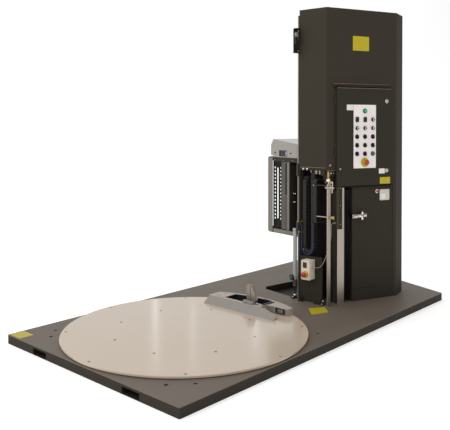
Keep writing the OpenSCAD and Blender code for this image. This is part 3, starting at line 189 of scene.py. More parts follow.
# Moulded ABS of the hood: pale grey, smooth, softly glossy
hoodPlastic = surface("hoodAbs", "#8d8985", "#959189", 0.2, ior=1.53, spotMm=260, grainMm=40, bump=0.01,
                      roughSpread=0.03)
# Charcoal enamel of the carriage's frame: almost flat
greySteel = surface("greyEnamel", "#2b2823", "#34312b", 0.5, ior=1.5, spotMm=110, grainMm=5, bump=0.06, extra=matt)
# Black powder coat of the guards: hardly any light on the rims of their holes
guardCoat = surface("guardPowderCoat", "#0d0c0b", "#141312", 0.6, ior=1.5, spotMm=60, grainMm=4, extra=matt)
# Mid grey enamel of the threading gate: even, with a low satin sheen
gateSteel = surface("gateEnamel", "#69635a", "#757067", 0.4, ior=1.5, spotMm=130, grainMm=5, bump=0.05)
# Darker grey enamel of the folded cover beside it
coverSteel = surface("coverEnamel", "#3f3c36", "#4a463f", 0.45, ior=1.5, spotMm=130, grainMm=5, bump=0.05)
# Pale blue-grey tube paint of the roper
roperPaint = surface("roperEnamel", "#8d9899", "#9ba6a6", 0.4, ior=1.5, spotMm=60, grainMm=4, bump=0.04)
# Olive-grey enamel of the roper's sleeve: dull
oliveCoat = surface("oliveEnamel", "#3f3c31", "#4a463a", 0.5, ior=1.5, spotMm=40, grainMm=4, extra=matt)
# Moulded black ABS: fine grain and a soft grey gleam
blackPlastic = surface("blackAbs", "#131211", "#1d1b1a", 0.45, ior=1.53, spotMm=25, grainMm=2, bump=0.06,
                       extra=halfMatt)
# Glass-filled polyamide of the chain: brownish black, matt
chainPlastic = surface("chainPolyamide", "#181612", "#23201b", 0.55, ior=1.53, spotMm=18, grainMm=2, bump=0.08,
                       extra=halfMatt)
# Moulded rubber: dark grey without a clear highlight
blackRubber = surface("rollerRubber", "#1d1c1b", "#292726", 0.7, ior=1.52, spotMm=20, grainMm=2, bump=0.12)
# Painted shadow: a black strip for the shade in the gap under the door, the flattest black
paintedShadowBlack = surface("paintedShadowBlack", "#070707", "#0d0d0c", 0.85, ior=1.52, spotMm=30, grainMm=3, extra=matt)
# Drawn nylon bristles: black, with a faint glint along a strand
bristle = surface("bristleNylon", "#080707", "#151413", 0.6, ior=1.53, spotMm=6, grainMm=2, extra=matt)
# Unlit inside of holes and slots: dead black
holeDark = surface("holeShadow", "#070606", "#0d0c0b", 0.85, ior=1.5, spotMm=20, grainMm=3, extra=matt)
# Extruded polyurethane hose: deep blue with a narrow highlight
hoseBlue = surface("hosePolyurethane", "#1a2148", "#232d5c", 0.32, ior=1.5, spotMm=40, grainMm=6, bump=0.03,
                   extra=halfMatt)
# Extruded PVC of cable and ducts: mid grey, matt
cableGrey = surface("cablePvc", "#6e6b67", "#7c7975", 0.5, ior=1.53, spotMm=30, grainMm=3)
# Moulded polycarbonate: warm ivory with a mild gloss
boxPlastic = surface("boxPolycarbonate", "#cfc1b2", "#dccfc1", 0.38, ior=1.58, spotMm=50, grainMm=4, bump=0.05)
# Moulded red ABS: deep colour, clear small highlight
redPlastic = surface("redAbs", "#a11d1f", "#b42626", 0.22, ior=1.53, spotMm=20, grainMm=4, bump=0.03)
# Moulded green ABS: dark, glossy
greenPlastic = surface("greenAbs", "#175239", "#1d6346", 0.25, ior=1.53, spotMm=20, grainMm=4, bump=0.03)
# Yellow vinyl film: half matt, slightly olive
yellowPlastic = surface("yellowVinyl", "#a4950f", "#b3a41a", 0.45, ior=1.53, spotMm=18, grainMm=3, bump=0.04,
                        extra=halfMatt)
# White vinyl film: plain, faintly warm
whiteVinyl = surface("whiteVinyl", "#cfc8c6", "#ded8d5", 0.4, ior=1.53, spotMm=25, grainMm=3, bump=0.04)
# White stove enamel of the control plate: clean, mild sheen
plateEnamel = surface("whiteEnamelPlate", "#d9d1cf", "#e6dfdc", 0.34, ior=1.5, spotMm=120, grainMm=6, bump=0.03)
# Anodised aluminium plate: pale warm grey, hardly metallic
greyPlate = surface("anodisedPlate", "#bdb3a9", "#c9bfb4", 0.4, metallic=0.2, spotMm=20, grainMm=3)
# Printed black of marks and fields: flat
markBlack = surface("printedBlack", "#1b1a1a", "#252423", 0.5, ior=1.5, spotMm=10, grainMm=3)
# Green lamp lens: clear colour with a low glow, as when lit
lampGreen = surface("lampLens", "#148a55", "#22a86c", 0.12, ior=1.49, spotMm=6, grainMm=4, bump=0.05,
                    extra={"Emission Color": linear("#2fbf84"), "Emission Strength": 0.12})
# Red and pale blue acrylic strips behind the hood window: smooth, glossy
lensRed = surface("redLens", "#4d0d13", "#5c1219", 0.2, ior=1.49, spotMm=20, grainMm=6, bump=0.02)
lensBlue = surface("paleBlueLens", "#8fabc9", "#a2bcd6", 0.2, ior=1.49, spotMm=20, grainMm=6, bump=0.02)
# Smoked acrylic window: nearly black, mirrors sharply
darkGlass = surface("smokedLens", "#14161a", "#1e2026", 0.08, ior=1.49, spotMm=60, grainMm=12, bump=0.01)
print("materials made")


# Mesh helpers: all in mm in a local frame
def addBox(bm, low, high, bevel=0):
    low, high = Vector(low), Vector(high)
    made = bmesh.ops.create_cube(bm, size=1)["verts"]
    for v in made:
        v.co = Vector(low[i] + (v.co[i] + 0.5) * (high[i] - low[i]) for i in range(3))
    if bevel:
        edges = list(dict.fromkeys(e for v in made for e in v.link_edges))  # each once, in a fixed order
        bmesh.ops.bevel(bm, geom=edges, offset=bevel, segments=2, profile=0.5, affect="EDGES")


def ringOf(bm, radius, height, place, steps):
    if radius < 1e-6:
        return [bm.verts.new(place @ Vector((0, 0, height)))]
    turns = [2 * math.pi * k / steps for k in range(steps)]
    return [bm.verts.new(place @ Vector((radius * math.cos(t), radius * math.sin(t), height))) for t in turns]


def joinRings(bm, a, b):
    for k in range(len(a)):
        j = (k + 1) % len(a)
        bm.faces.new((a[k], a[j], b[j], b[k]))


# A turned shape: (radius, height) pairs along local +Z
def addTurned(bm, profile, place, steps=28):
    rings = [ringOf(bm, radius, height, place, steps) for radius, height in profile]
    for a, b in zip(rings, rings[1:]):
        if len(a) > 1 and len(b) > 1:
            joinRings(bm, a, b)
            continue
        for k in range(steps if len(a) + len(b) > 2 else 0):
            j = (k + 1) % steps
            bm.faces.new((a[0], b[k], b[j]) if len(a) == 1 else (a[k], a[j], b[0]))
    for ring in (rings[0], rings[-1]):
        if len(ring) > 1:
            bm.faces.new(ring)


# A turned ring with an open bore
def addCollar(bm, profile, place, steps=28):
    rings = [ringOf(bm, radius, height, place, steps) for radius, height in profile]
    for a, b in zip(rings, rings[1:] + rings[:1]):
        joinRings(bm, a, b)


# Section of a ring with a chamfered outer edge
def ringSection(bore, radius, edge, topRadius, top, base=0):
    return [(bore, base), (radius, base), (radius, edge), (topRadius, top), (bore, top)]


# A plate with a hole: two outlines with the same number of points, between two heights
def addRing(bm, outer, inner, low, high, place):
    count = len(outer)
    loops = [[bm.verts.new(place @ Vector((p[0], p[1], z))) for p in line]
             for line in (outer, inner) for z in (low, high)]
    for k in range(count):
        j = (k + 1) % count
        for a, b in ((0, 1), (1, 3), (3, 2), (2, 0)):
            bm.faces.new((loops[a][k], loops[a][j], loops[b][j], loops[b][k]))


def addPlate(bm, outline, low, high, place=world):
    under = [bm.verts.new(place @ Vector((p[0], p[1], low))) for p in outline]
    over = [bm.verts.new(place @ Vector((p[0], p[1], high))) for p in outline]
    bm.faces.new(under)
    bm.faces.new(over)
    joinRings(bm, under, over)


def around(radius, degrees):
    return radius * math.cos(math.radians(degrees)), radius * math.sin(math.radians(degrees))


def circle(radius):
    return [around(radius, 10 * k) for k in range(36)]


def roundedOutline(width, height, radius, steps=5):
    points = []
    for sx, sy, start in ((1, 1, 0), (-1, 1, 90), (-1, -1, 180), (1, -1, 270)):
        for k in range(steps + 1):
            t = math.radians(start + 90 * k / steps)
            points.append((sx * (width / 2 - radius) + radius * math.cos(t),
                           sy * (height / 2 - radius) + radius * math.sin(t)))
    return points


def addTube(bm, points, radius, steps):
    points = [Vector(p) for p in points]
    side = Vector((0.31, 0.87, 0.38))  # any start that no tube runs along
    rings = []
    for k, p in enumerate(points):
        ahead = (points[min(k + 1, len(points) - 1)] - points[max(k - 1, 0)]).normalized()
        side = (side - ahead * side.dot(ahead)).normalized()
        other = ahead.cross(side)
        rings.append([bm.verts.new(p + radius * (math.cos(t) * side + math.sin(t) * other))
                      for t in (2 * math.pi * n / steps for n in range(steps))])
    for a, b in zip(rings, rings[1:]):
        joinRings(bm, a, b)
    bm.faces.new(rings[0])
    bm.faces.new(rings[-1])


# A soft curve through the points
def smoothPath(points, steps=8):
    points = [Vector(p) for p in points]
    ends = [2 * points[0] - points[1]] + points + [2 * points[-1] - points[-2]]
    line = []
    for a, b, c, d in zip(ends, ends[1:], ends[2:], ends[3:]):
        for k in range(steps):
            t = k / steps
            line.append(0.5 * (2 * b + (c - a) * t + (2 * a - 5 * b + 4 * c - d) * t * t
                               + (3 * b - a - 3 * c + d) * t ** 3))
    return line + [points[-1]]


# Makes the object, in m, with one finish; edges over smooth degrees stay sharp
def put(name, bm, place, coat, body=None, smooth=30):
    bmesh.ops.recalc_face_normals(bm, faces=bm.faces)
    mesh = bpy.data.meshes.new(name)
    bm.to_mesh(mesh)
    bm.free()
    mesh.transform(Matrix.Scale(mm, 4) @ place)
    mesh.materials.append(coat)
    mesh.shade_smooth()
    mesh.set_sharp_from_angle(angle=math.radians(smooth))
    made = bpy.data.objects.new(name, mesh)
    scene.collection.objects.link(made)
    if body:
        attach(made, body)
    return made


# Screw heads, as shares of their radius: "pan" with a recess, "hex" bolt with washer, "socket" cap,
# "flush" countersunk
screwProfiles = {
    "pan": [(1, 0), (1, 0.25), (0.86, 0.5), (0.55, 0.66), (0.26, 0.66), (0.2, 0.4), (0, 0.36)],
    "hex": [(1.25, 0), (1.25, 0.16), (1, 0.16), (1, 0.62), (0.86, 0.74), (0, 0.74)],
    "socket": [(1, 0), (1, 0.86), (0.92, 1), (0.58, 1), (0.5, 0.5), (0, 0.46)],
    "flush": [(1, 0), (1, 0.06), (0.62, 0.06), (0.5, 0.02), (0, 0.02)]}


def screws(name, kind, spots, direction, radius, place, coat, body):
    bm = bmesh.new()
    for spot in spots:
        spin = dice.uniform(0, 60)
        sides = 6 if kind == "hex" else 18
        addTurned(bm, [(r * radius, h * radius) for r, h in screwProfiles[kind]],
                  out(spot, direction, spin), sides)
    put(name, bm, place, coat, body)


def label(name, size, radius, thick, place, coat, body):
    bm = bmesh.new()
    addPlate(bm, roundedOutline(size[0], size[1], radius), 0, thick)
    put(name, bm, place, coat, body)


# Pieces of several boxes (low, high, bevel), of one turned profile at several spots, or of several plates
def boxes(name, parts, place, coat, body):
    bm = bmesh.new()
    for low, high, bevel in parts:
        addBox(bm, low, high, bevel)
    put(name, bm, place, coat, body)


def turnings(name, profile, spots, direction, steps, place, coat, body, smooth=30):
    bm = bmesh.new()
    for spot in spots:
        addTurned(bm, profile, out(spot, direction), steps)
    put(name, bm, place, coat, body, smooth)


def plates(name, parts, place, coat, body):
    bm = bmesh.new()
    for outline, low, high in parts:
        addPlate(bm, outline, low, high)
    put(name, bm, place, coat, body)


# Cords
def cordCurve(name, points, radius, place, coat, body):
    line = [place @ p * mm for p in smoothPath(points)]
    data = bpy.data.curves.new(name, "CURVE")
    data.dimensions = "3D"
    data.bevel_depth = radius * mm
    data.bevel_resolution = 3
    data.use_fill_caps = True
    spline = data.splines.new("POLY")
    spline.points.add(len(line) - 1)
    for point, p in zip(spline.points, line):
        point.co = (*p, 1)
    data.materials.append(coat)
    made = bpy.data.objects.new(name, data)
    scene.collection.objects.link(made)
    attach(made, body)
    return made, line, sum((b - a).length for a, b in zip(line, line[1:]))


stopCable = {"radius": 3, "route": [
    (89, 40, 346), (82, 40, 346), (74, 40, 346), (56, 40, 348), (40, 39, 353), (26, 36, 364), (14, 30, 382),
    (4, 21, 408), (-4, 8, 442), (-9, -8, 478), (-12, -26, 514), (-13, -40, 552), (-12.7, -49, 592),
    (-12.4, -51.7, 630), (-12.4, -51.9, 666), (-13.9, -54.8, 678), (-17.8, -62.6, 686.8), (-23.12, -73.38, 690),
    (-24.91, -76.97, 690), (-26.69, -80.54, 690)]}
cable, cableLine, cableLength = cordCurve("stopCable", stopCable["route"], stopCable["radius"], leftFace,
                                          cableGrey, "base")
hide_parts("stop_cable")
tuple(cableLine[0])

airHose = {"radius": 4, "route": [
    (224, 1, 664), (224, 1, 650), (224, 1, 600), (224, 1, 540), (223, 1, 500), (218, 1, 466), (202, 1, 443),
    (180, 1, 432), (162, 1, 432), (140, 1, 443), (124, 1, 466), (119, 1, 500), (118, 1, 560), (118, 1, 620),
    (118, 1, 670), (118, 1, 690)]}
hose, hoseLine, hoseLength = cordCurve("airHose", airHose["route"], airHose["radius"], leftFace, hoseBlue, "base")
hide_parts("air_hose")
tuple(hoseLine[0])
print("cords made", round(cableLength, 3), round(hoseLength, 3))

# Drag chain: links with a window in each side plate, plates of neighbours lapped, snap-in crossbars
dragChain = {"pitch": 29, "fixedX": 128, "movingX": 204, "bendZ": 488, "fixedLinks": 20, "movingLinks": 18,
             "bendLinks": 4, "middleY": -27, "width": 40, "plate": 2.2, "radius": 15.4, "window": (9.6, 11, 2.6),
             "barY": 11.6, "barHalf": (5.5, 2), "blendLow": 500, "blendHigh": 1000}


def chainLinks(pivots, first):
    bm, pins = bmesh.new(), bmesh.new()
    for k, (a, b) in enumerate(zip(pivots, pivots[1:])):
        a, b = Vector(a), Vector(b)
        step = b - a
        length = step.length
        # local x along the link, local y across its bend, local z along the chain's width
        along = step.normalized()
        frameOf = Matrix(((along.x, -along.y, 0, a.x), (0, 0, -1, dragChain["middleY"]),
                          (along.y, along.x, 0, a.y), (0, 0, 0, 1)))
        lapped = (k + first) % 2
        half = dragChain["width"] / 2 - (0 if lapped else dragChain["plate"])
        r = dragChain["radius"] - (0.6 if lapped else 0)
        turns = [math.radians(90 + 20 * n) for n in range(10)]
        stadium = [(r * math.cos(t), r * math.sin(t)) for t in turns]
        stadium += [(length - r * math.cos(t), -r * math.sin(t)) for t in turns]
        rounded = roundedOutline(*dragChain["window"], 4)
        window = [(length / 2 + x, y) for x, y in rounded[5:] + rounded[:5]]  # starts beside the stadium's start
        for side in (-1, 1):
            low, high = sorted((side * half, side * (half - dragChain["plate"])))
            addRing(bm, stadium, window, low, high, frameOf)
        for edge in (-1, 1):
            bar = bmesh.new()
            middle = edge * dragChain["barY"]
            wide, thick = dragChain["barHalf"]
            addBox(bar, (length / 2 - wide, middle - thick, 1 - half),
                   (length / 2 + wide, middle + thick, half - 1), 0.8)
            bar.transform(frameOf)
            joined = bpy.data.meshes.new("bar")
            bar.to_mesh(joined)
            bar.free()
            bm.from_mesh(joined)
            bpy.data.meshes.remove(joined)
        for side in (-1, 1):
            spot = frameOf @ Matrix.Translation((0, 0, side * (half - 0.2)))
            if side < 0:
                spot = spot @ Matrix.Rotation(math.pi, 4, "X")
            addTurned(pins, [(5, 0), (5, 0.9), (4, 1.4), (2, 1.4), (1.6, 0.8), (0, 0.8)], spot, 12)
    return bm, pins


fixedX, movingX, bendZ = dragChain["fixedX"], dragChain["movingX"], dragChain["bendZ"]
bendMiddle, bendRadius = (fixedX + movingX) / 2, (movingX - fixedX) / 2
bendTurns = [math.pi * (1 + (k + 1) / dragChain["bendLinks"]) for k in range(dragChain["bendLinks"])]
fixedPivots = [(fixedX, bendZ + dragChain["pitch"] * (dragChain["fixedLinks"] - k))
               for k in range(dragChain["fixedLinks"] + 1)]
fixedPivots += [(bendMiddle + bendRadius * math.cos(t), bendZ + bendRadius * math.sin(t)) for t in bendTurns]
movingPivots = [(movingX, bendZ + dragChain["pitch"] * k) for k in range(dragChain["movingLinks"] + 1)]
linkMesh, pinMesh = chainLinks(fixedPivots, 0)
fixedChain = put("dragChainFixed", linkMesh, leftFace, chainPlastic, "base")
put("dragChainFixedPins", pinMesh, leftFace, blackPlastic, "base")
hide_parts("drag_chain")
# The moving run stretches between its bend and the carriage
linkMesh, pinMesh = chainLinks(movingPivots, 1)
movingChain = put("dragChainMoving", linkMesh, leftFace, chainPlastic)
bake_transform(movingChain)
movingPins = put("dragChainMovingPins", pinMesh, leftFace, blackPlastic)
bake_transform(movingPins)
print("chain made")

# Wiper brush: tufts in staggered rows, each a fan of strands, drawn coarser than real 0.5 mm nylon
wiperBrush = {"u": 166, "v": 9, "low": 80, "high": 947, "rows": 3, "rowPitch": 5, "tuftPitch": 8.4, "strands": 7,
              "reach": 58, "thick": 0.9, "backWide": 8, "backDeep": 17.4}
bm = bmesh.new()
addBox(bm, (wiperBrush["u"], wiperBrush["v"], wiperBrush["low"]),
       (wiperBrush["u"] + wiperBrush["backWide"], wiperBrush["v"] + wiperBrush["backDeep"], wiperBrush["high"]), 1)
brushBack = put("wiperBrushBack", bm, tower, blackPlastic, "base", softEdge)
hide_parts("wiper_brush")
bm = bmesh.new()
for row in range(wiperBrush["rows"]):
    z = wiperBrush["low"] + 4 + row * wiperBrush["tuftPitch"] / 3
    while z < wiperBrush["high"] - 5:
        reach = wiperBrush["reach"] + dice.uniform(-3, 2)
        for _ in range(wiperBrush["strands"]):
            root = Vector((wiperBrush["u"] + 7, wiperBrush["v"] + 4 + row * wiperBrush["rowPitch"]
                           + dice.uniform(-0.8, 0.8), z + dice.uniform(-1, 1)))
            tip = root + Vector((reach + dice.uniform(-2.5, 1.5), dice.uniform(-2.2, 1.6), dice.uniform(-2.6, 2.6)))
            middle = root.lerp(tip, 0.55) + Vector((0, dice.uniform(-0.6, 0.6), dice.uniform(-0.4, 0.4)))
            addTube(bm, [root, middle, tip], wiperBrush["thick"], 3)
        z += wiperBrush["tuftPitch"]
put("wiperBrushStrands", bm, tower, bristle, "base", softEdge)
print("brush made")

# CAD nodes: one finish each
finishes = {
    towerCoat: ["tower_cover"],
    doorCoat: ["control_door", "lower_panel", "lower_cover"],
    bayCoat: ["mast"],
    deckCoat: ["deck"],
    baseCoat: ["base_frame"],
    discSteel: ["turntable_disc"],
    clampZinc: ["clamp_ramp"],
    clampCream: ["clamp_housing"],
    jawSteel: ["fixed_jaw", "clamp_jaw"],
    zincPlate: ["upper_lock", "lower_lock", "table_pulley", "drive_pulley", "upper_pulley",
                "lower_pulley", "bearing_ring", "ball_cage"],
    brushedSteel: ["support_post", "cutter_arm", "mast_rails", "film_mandrel", "idler_roller"],
    roperPaint: ["roper_tube"],
    chrome: ["clamp_cylinder", "clamp_rod", "air_valve", "valve_handle"],
    valveDark: ["valve_bank"],
    motorPaint: ["table_gearmotor", "lift_gearmotor"],
    hoodPlastic: ["motor_hood"],
    greySteel: ["carriage_frame", "trolley"],
    gateSteel: ["threading_gate"],
    blackPlastic: ["wrap_counters", "dial_1", "dial_2", "dial_3", "dial_4", "selectors", "roper_foot"],
    guardCoat: ["perforated_guard"],
    blackRubber: ["prestretch_roller_1", "prestretch_roller_2", "lift_belt", "drive_belt"],
    boxPlastic: ["stop_box"],
    redPlastic: ["stop_button", "box_stop_button", "reset_button"],
    greenPlastic: ["start_button"],
    lampGreen: ["pilot_light"],
    plateEnamel: ["control_plate"],
    holeDark: ["drag_chain", "air_hose", "stop_cable", "wiper_brush"]}
for coat, names in finishes.items():
    for name in names:
        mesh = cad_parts[name].data
        mesh.materials.clear()
        mesh.materials.append(coat)
print("finishes set")

# Control plate: ticks, bezels, pointers and the yellow disc round the stop button
controls = {"face": -25, "middleU": 342.5, "stepU": 75.5, "topZ": 1565, "stepZ": 67.5,
            "lamp": (0, 0), "counters": [(-1, 1), (0, 1)], "start": (1, 5), "stop": (0, 6)}
dialSpots = {"dial_1": (1, 1), "dial_2": (-1, 2), "dial_3": (0, 2), "dial_4": (1, 2)}
selectorSpots = [(c, r) for r in (3, 4) for c in (-1, 0, 1)] + [(-1, 5), (0, 5)]


def controlSpot(column, row):
    return Vector((controls["middleU"] + controls["stepU"] * column, controls["face"],
                   controls["topZ"] - controls["stepZ"] * row))


def addTick(bm, spot, degrees, half, start, end):
    place = Matrix.Translation(controlSpot(*spot)) @ Matrix.Rotation(math.radians(degrees), 4, "Y")
    addPlate(bm, [(-half, -0.3), (half, -0.3), (half, 0), (-half, 0)], start, end, place)


bm = bmesh.new()
for spot in dialSpots.values():
    for k in range(11):
        addTick(bm, spot, -135 + 27 * k, 0.55, 19, 19 + (4 if k % 5 == 0 else 2.6))
for spot in selectorSpots:
    for degrees in (-45, 0, 45):
        addTick(bm, spot, degrees, 0.8, 20, 23)
put("controlTicks", bm, tower, markBlack, "control_door")

bm = bmesh.new()
for spot in selectorSpots:
    addTurned(bm, ringSection(15.1, 18.4, 2.2, 17.4, 3.4), out(controlSpot(*spot), front), 32)
addCollar(bm, ringSection(14, 18.4, 2.2, 17.4, 3.4), out(controlSpot(*controls["start"]), front), 32)
addTurned(bm, ringSection(15.1, 19.5, 3, 18, 5), out(controlSpot(*controls["lamp"]), front), 32)
put("controlBezels", bm, tower, blackPlastic, "control_door")
turnings("pilotDome", [(12.2, 9), (13.4, 9), (13.4, 13), (12.6, 16.5), (10, 19.4), (6, 21.2), (0, 22)],
         [controlSpot(*controls["lamp"])], front, 32, tower, lampGreen, "control_door", softEdge)

pointers = []
for spot in selectorSpots:
    p = controlSpot(*spot)
    pointers.append((p + Vector((-0.9, -22.5, 2)), p + Vector((0.9, -21.8, 11.6)), 0.2))
boxes("selectorPointers", pointers, tower, whiteVinyl, "control_door")

dialKnob = {"ribs": 24, "ribReach": 10.9, "ringOuter": 11.6, "ringInner": 6.6}
ribTurns = [2 * math.pi * k / dialKnob["ribs"] for k in range(dialKnob["ribs"])]
for name, spot in dialSpots.items():
    p = controlSpot(*spot)
    boxes(name + "Pointer", [(p + Vector((-0.9, -19.9, 1)), p + Vector((0.9, -17.2, 10.6)), 0.2),
                             (p + Vector((-0.7, -8.3, 11.4)), p + Vector((0.7, -7.8, 14.6)), 0)],
          tower, whiteVinyl, name)
    ribSpots = [p + Vector((dialKnob["ribReach"] * math.cos(t), -8, dialKnob["ribReach"] * math.sin(t)))
                for t in ribTurns]
    turnings(name + "Ribs", [(0.9, 0), (0.9, 10.6), (0.5, 11.6), (0, 11.6)], ribSpots, front, 6, tower,
             blackPlastic, name, softEdge)
    turnings(name + "Skirt", ringSection(12.2, 15.4, 6.6, 14.6, 8.5, 1), [p], front, 36, tower, blackPlastic, name)
    bm = bmesh.new()
    addRing(bm, circle(dialKnob["ringOuter"]), circle(dialKnob["ringInner"]), 18.6, 20.4, out(p, front))
    put(name + "Ring", bm, tower, brightRing, name)

stopSpot = [controlSpot(*controls["stop"])]
mushroomTop = [(14, 38), (13.6, 39.6), (12.4, 40.4), (0, 41)]
turnings("stopDisc", [(10.6, 0), (37.5, 0), (37.5, 0.2), (10.6, 0.2)], stopSpot, front, 48, tower,
         yellowPlastic, "control_door")
turnings("stopCap", mushroomTop, stopSpot, front, 32, tower, redPlastic, "stop_button", softEdge)
turnings("stopCollar", ringSection(12.5, 17.5, 8, 16, 10.5, 0.2), stopSpot, front, 36, tower, yellowPlastic,
         "control_door")

# Counters: number drums behind two windows, left without figures, and a stepping key on each
bm, keys = bmesh.new(), bmesh.new()
for spot in controls["counters"]:
    for dz in (-10, 10):
        for k in (-1, 0, 1):
            p = controlSpot(*spot) + Vector((k * 5.6 - 2.4, -2.4, dz))
            addTurned(bm, [(3.2, 0), (3.6, 0.4), (3.6, 4.4), (3.2, 4.8)], out(p, right), 20)
    for dz in (-1, 1):
        p = controlSpot(*spot) + Vector((-3, -9, dz * 17.6 - 0.9))
        addBox(keys, p, p + Vector((6, 1.6, 1.8)), 0.3)
put("counterDrums", bm, tower, markBlack, "control_door")
put("counterKeys", keys, tower, zincPlate, "control_door")
turnings("plateRivets", [(3.4, 0), (3.4, 0.8), (2.6, 1.6), (0, 1.8)],
         [(u, controls["face"], z) for z in (1122, 1606) for u in (242, 443)], front, 14, tower, zincPlate,
         "control_door")

# Door surround: painted highlights where the gutter's and the door's edges catch the light, a black strip as the
# painted shadow under the door, and a dark line as the painted shadow at the kick plate's top edge
doorStrips = {
    "gutterLipHighlight": ((57, -4.2, 1776), (600, -2.4, 1779), 0.4, edgeHighlight, "base"),
    "doorTopHighlight": ((85, -22.6, 1742), (600, -20, 1745.4), 0.4, edgeHighlight, "control_door"),
    "doorShadowStrip": ((150, -20, 966), (610, -2, 977.8), 1.5, paintedShadowBlack, "control_door"),
    "kickShadowLine": ((246, 0.8, 157), (555, 3.2, 160.5), 0.6, bayCoat, "base")}
for name, (low, high, bevel, coat, body) in doorStrips.items():
    boxes(name, [(low, high, bevel)], tower, coat, body)
turnings("lockBezels", ringSection(11, 15.5, 1.4, 14, 2.8), [(559, -22, z) for z in (1089, 1645)], front, 32,
         tower, chrome, "control_door")
turnings("hingeCaps", [(3.4, 0), (3.4, 1), (2.4, 2.2), (0, 2.4)], [(76, -11, z) for z in (1292, 1702)], up, 16,
         tower, zincPlate, "base")
print("controls made")

# Plain vinyl labels and tags: place, size, corner radius, vinyl, body
stickers = {
    "doorLabel": ((542, -22, 1010), (101, 53), 4, yellowPlastic, "control_door"),
    "upperLabel": ((320.5, 0, 2098), (155, 114), 4, yellowPlastic, "base"),
    "plateTag": ((203.5, -22, 1592), (63, 44), 2, whiteVinyl, "control_door"),
    "lockTag": ((510, -22, 1086), (58, 40), 2, whiteVinyl, "control_door")}
for name, (spot, size, corner, vinyl, body) in stickers.items():
    label(name, size, corner, 0.4, tower @ out(spot, front), vinyl, body)
deckStickers = {"deckLabel": [(204, -282), (312, -360), (218, -454), (85, -397)],
                "cornerLabel": [(-1640, 700), (-1538, 700), (-1538, 822), (-1640, 826)]}
for name, outline in deckStickers.items():
    plates(name, [(outline, deckTop, deckTop + 0.4)], world, yellowPlastic, "base")

dataPlate = {"u": 557, "z": 892, "width": 97, "height": 88, "rivetU": 42, "rivetZ": 38}
label("dataPlate", (dataPlate["width"], dataPlate["height"]), 5, 1,
      tower @ out((dataPlate["u"], 3, dataPlate["z"]), front), greyPlate, "base")
label("dataPlateField", (46, 40), 3, 0.4,
      tower @ out((dataPlate["u"] - 16, 2, dataPlate["z"] - 12), front), whiteVinyl, "base")
rivetSpots = [(dataPlate["u"] + a * dataPlate["rivetU"], 2, dataPlate["z"] + b * dataPlate["rivetZ"])
              for a, b in corners]
screws("dataPlateRivets", "pan", rivetSpots, front, 3, tower, zincPlate, "base")
bm = bmesh.new()
addCollar(bm, ringSection(10, 16, 1, 14, 2.4), out((483, 3, 923), front))
put("resetBezel", bm, tower, whiteVinyl, "base")
print("labels made")

# Deck holes with their rims, and the screws of the disc in two rows: radius, first angle, steps of 45 degrees
deckHoles = {"blind": [(-1480, 584), (-1505, -575)], "anchorsX": (-1385, -241), "anchorsY": (-679, 679)}
bm, rims = bmesh.new(), bmesh.new()
for x, y in deckHoles["blind"]:
    addTurned(bm, [(10, 0), (10, 0.3), (0, 0.3)], out((x, y, deckTop), up), 24)
    addCollar(rims, [(10, 0), (12.5, 0), (11.6, 0.6), (10, 0.6)], out((x, y, deckTop), up), 24)
for x in deckHoles["anchorsX"]:
    for y in deckHoles["anchorsY"]:
        addCollar(rims, [(8.1, 0), (11.6, 0), (10.8, 0.6), (8.1, 0.6)], out((x, y, deckTop), up), 24)
put("deckHoles", bm, world, holeDark, "base")
put("deckHoleRims", rims, world, baseCoat, "base")
discRows = ((795, 1.5, range(1, 8)), (488, 23.5, range(8)))
screws("discScrews", "flush", [(*around(radius, first + 45 * k), 0) for radius, first, steps in discRows
                               for k in steps], up, 9, disc, screwBrown, "turntable")
print("screws made")

# Stop box: lid seam, corner screws, yellow collar, black field, cable gland nuts
stopBox = {"middleX": 141, "middleZ": 325, "width": 76, "height": 150, "depth": 78, "buttonZ": 294,
           "gland": (90, 40, 346), "wallGland": (-29.4, -85.9, 690), "wallWay": (0.4456, 0.8952, 0)}
bm = bmesh.new()
lid = out((stopBox["middleX"], stopBox["depth"], stopBox["middleZ"]), outward)
addRing(bm, roundedOutline(stopBox["width"], stopBox["height"], 9), roundedOutline(66, 140, 5), 0, 1.2, lid)
addRing(bm, roundedOutline(79, 153, 9), roundedOutline(75.6, 149.6, 7), -24, -21, lid)
put("stopBoxLid", bm, leftFace, boxPlastic, "base")
screws("stopBoxScrews", "pan", [(stopBox["middleX"] + a * 30, stopBox["depth"], stopBox["middleZ"] + b * 66)
                                for a, b in corners], outward, 3.6, leftFace, zincPlate, "base")
boxButton = [(stopBox["middleX"], stopBox["depth"], stopBox["buttonZ"])]
turnings("stopBoxCollar", [(12.5, 0), (27, 0), (27, 2.6), (24.6, 4.6), (18, 5.2), (18, 10), (16.6, 12), (12.5, 12)],
         boxButton, outward, 40, leftFace, yellowPlastic, "base")
label("stopBoxField", (36, 44), 2, 0.5, leftFace @ out((146, stopBox["depth"], 364), outward), markBlack, "base")
turnings("boxStopCap", mushroomTop, boxButton, outward, 32, leftFace, redPlastic, "box_stop_button", softEdge)
bm = bmesh.new()
addTurned(bm, [(3.2, 0), (7.4, 0), (8.2, 2), (8.2, 5), (7.6, 5), (7.6, 8), (10, 8), (10, 13), (3.2, 13)],
          out(stopBox["gland"], right), 6)
addTurned(bm, [(3.2, 0), (10, 0), (10, 5), (7.8, 5), (7.8, 7), (8.4, 7), (8.4, 10), (6, 12), (3.2, 12)],
          out(stopBox["wallGland"], stopBox["wallWay"]), 6)
put("cableGlands", bm, leftFace, castGrey, "base")
print("stop box made")
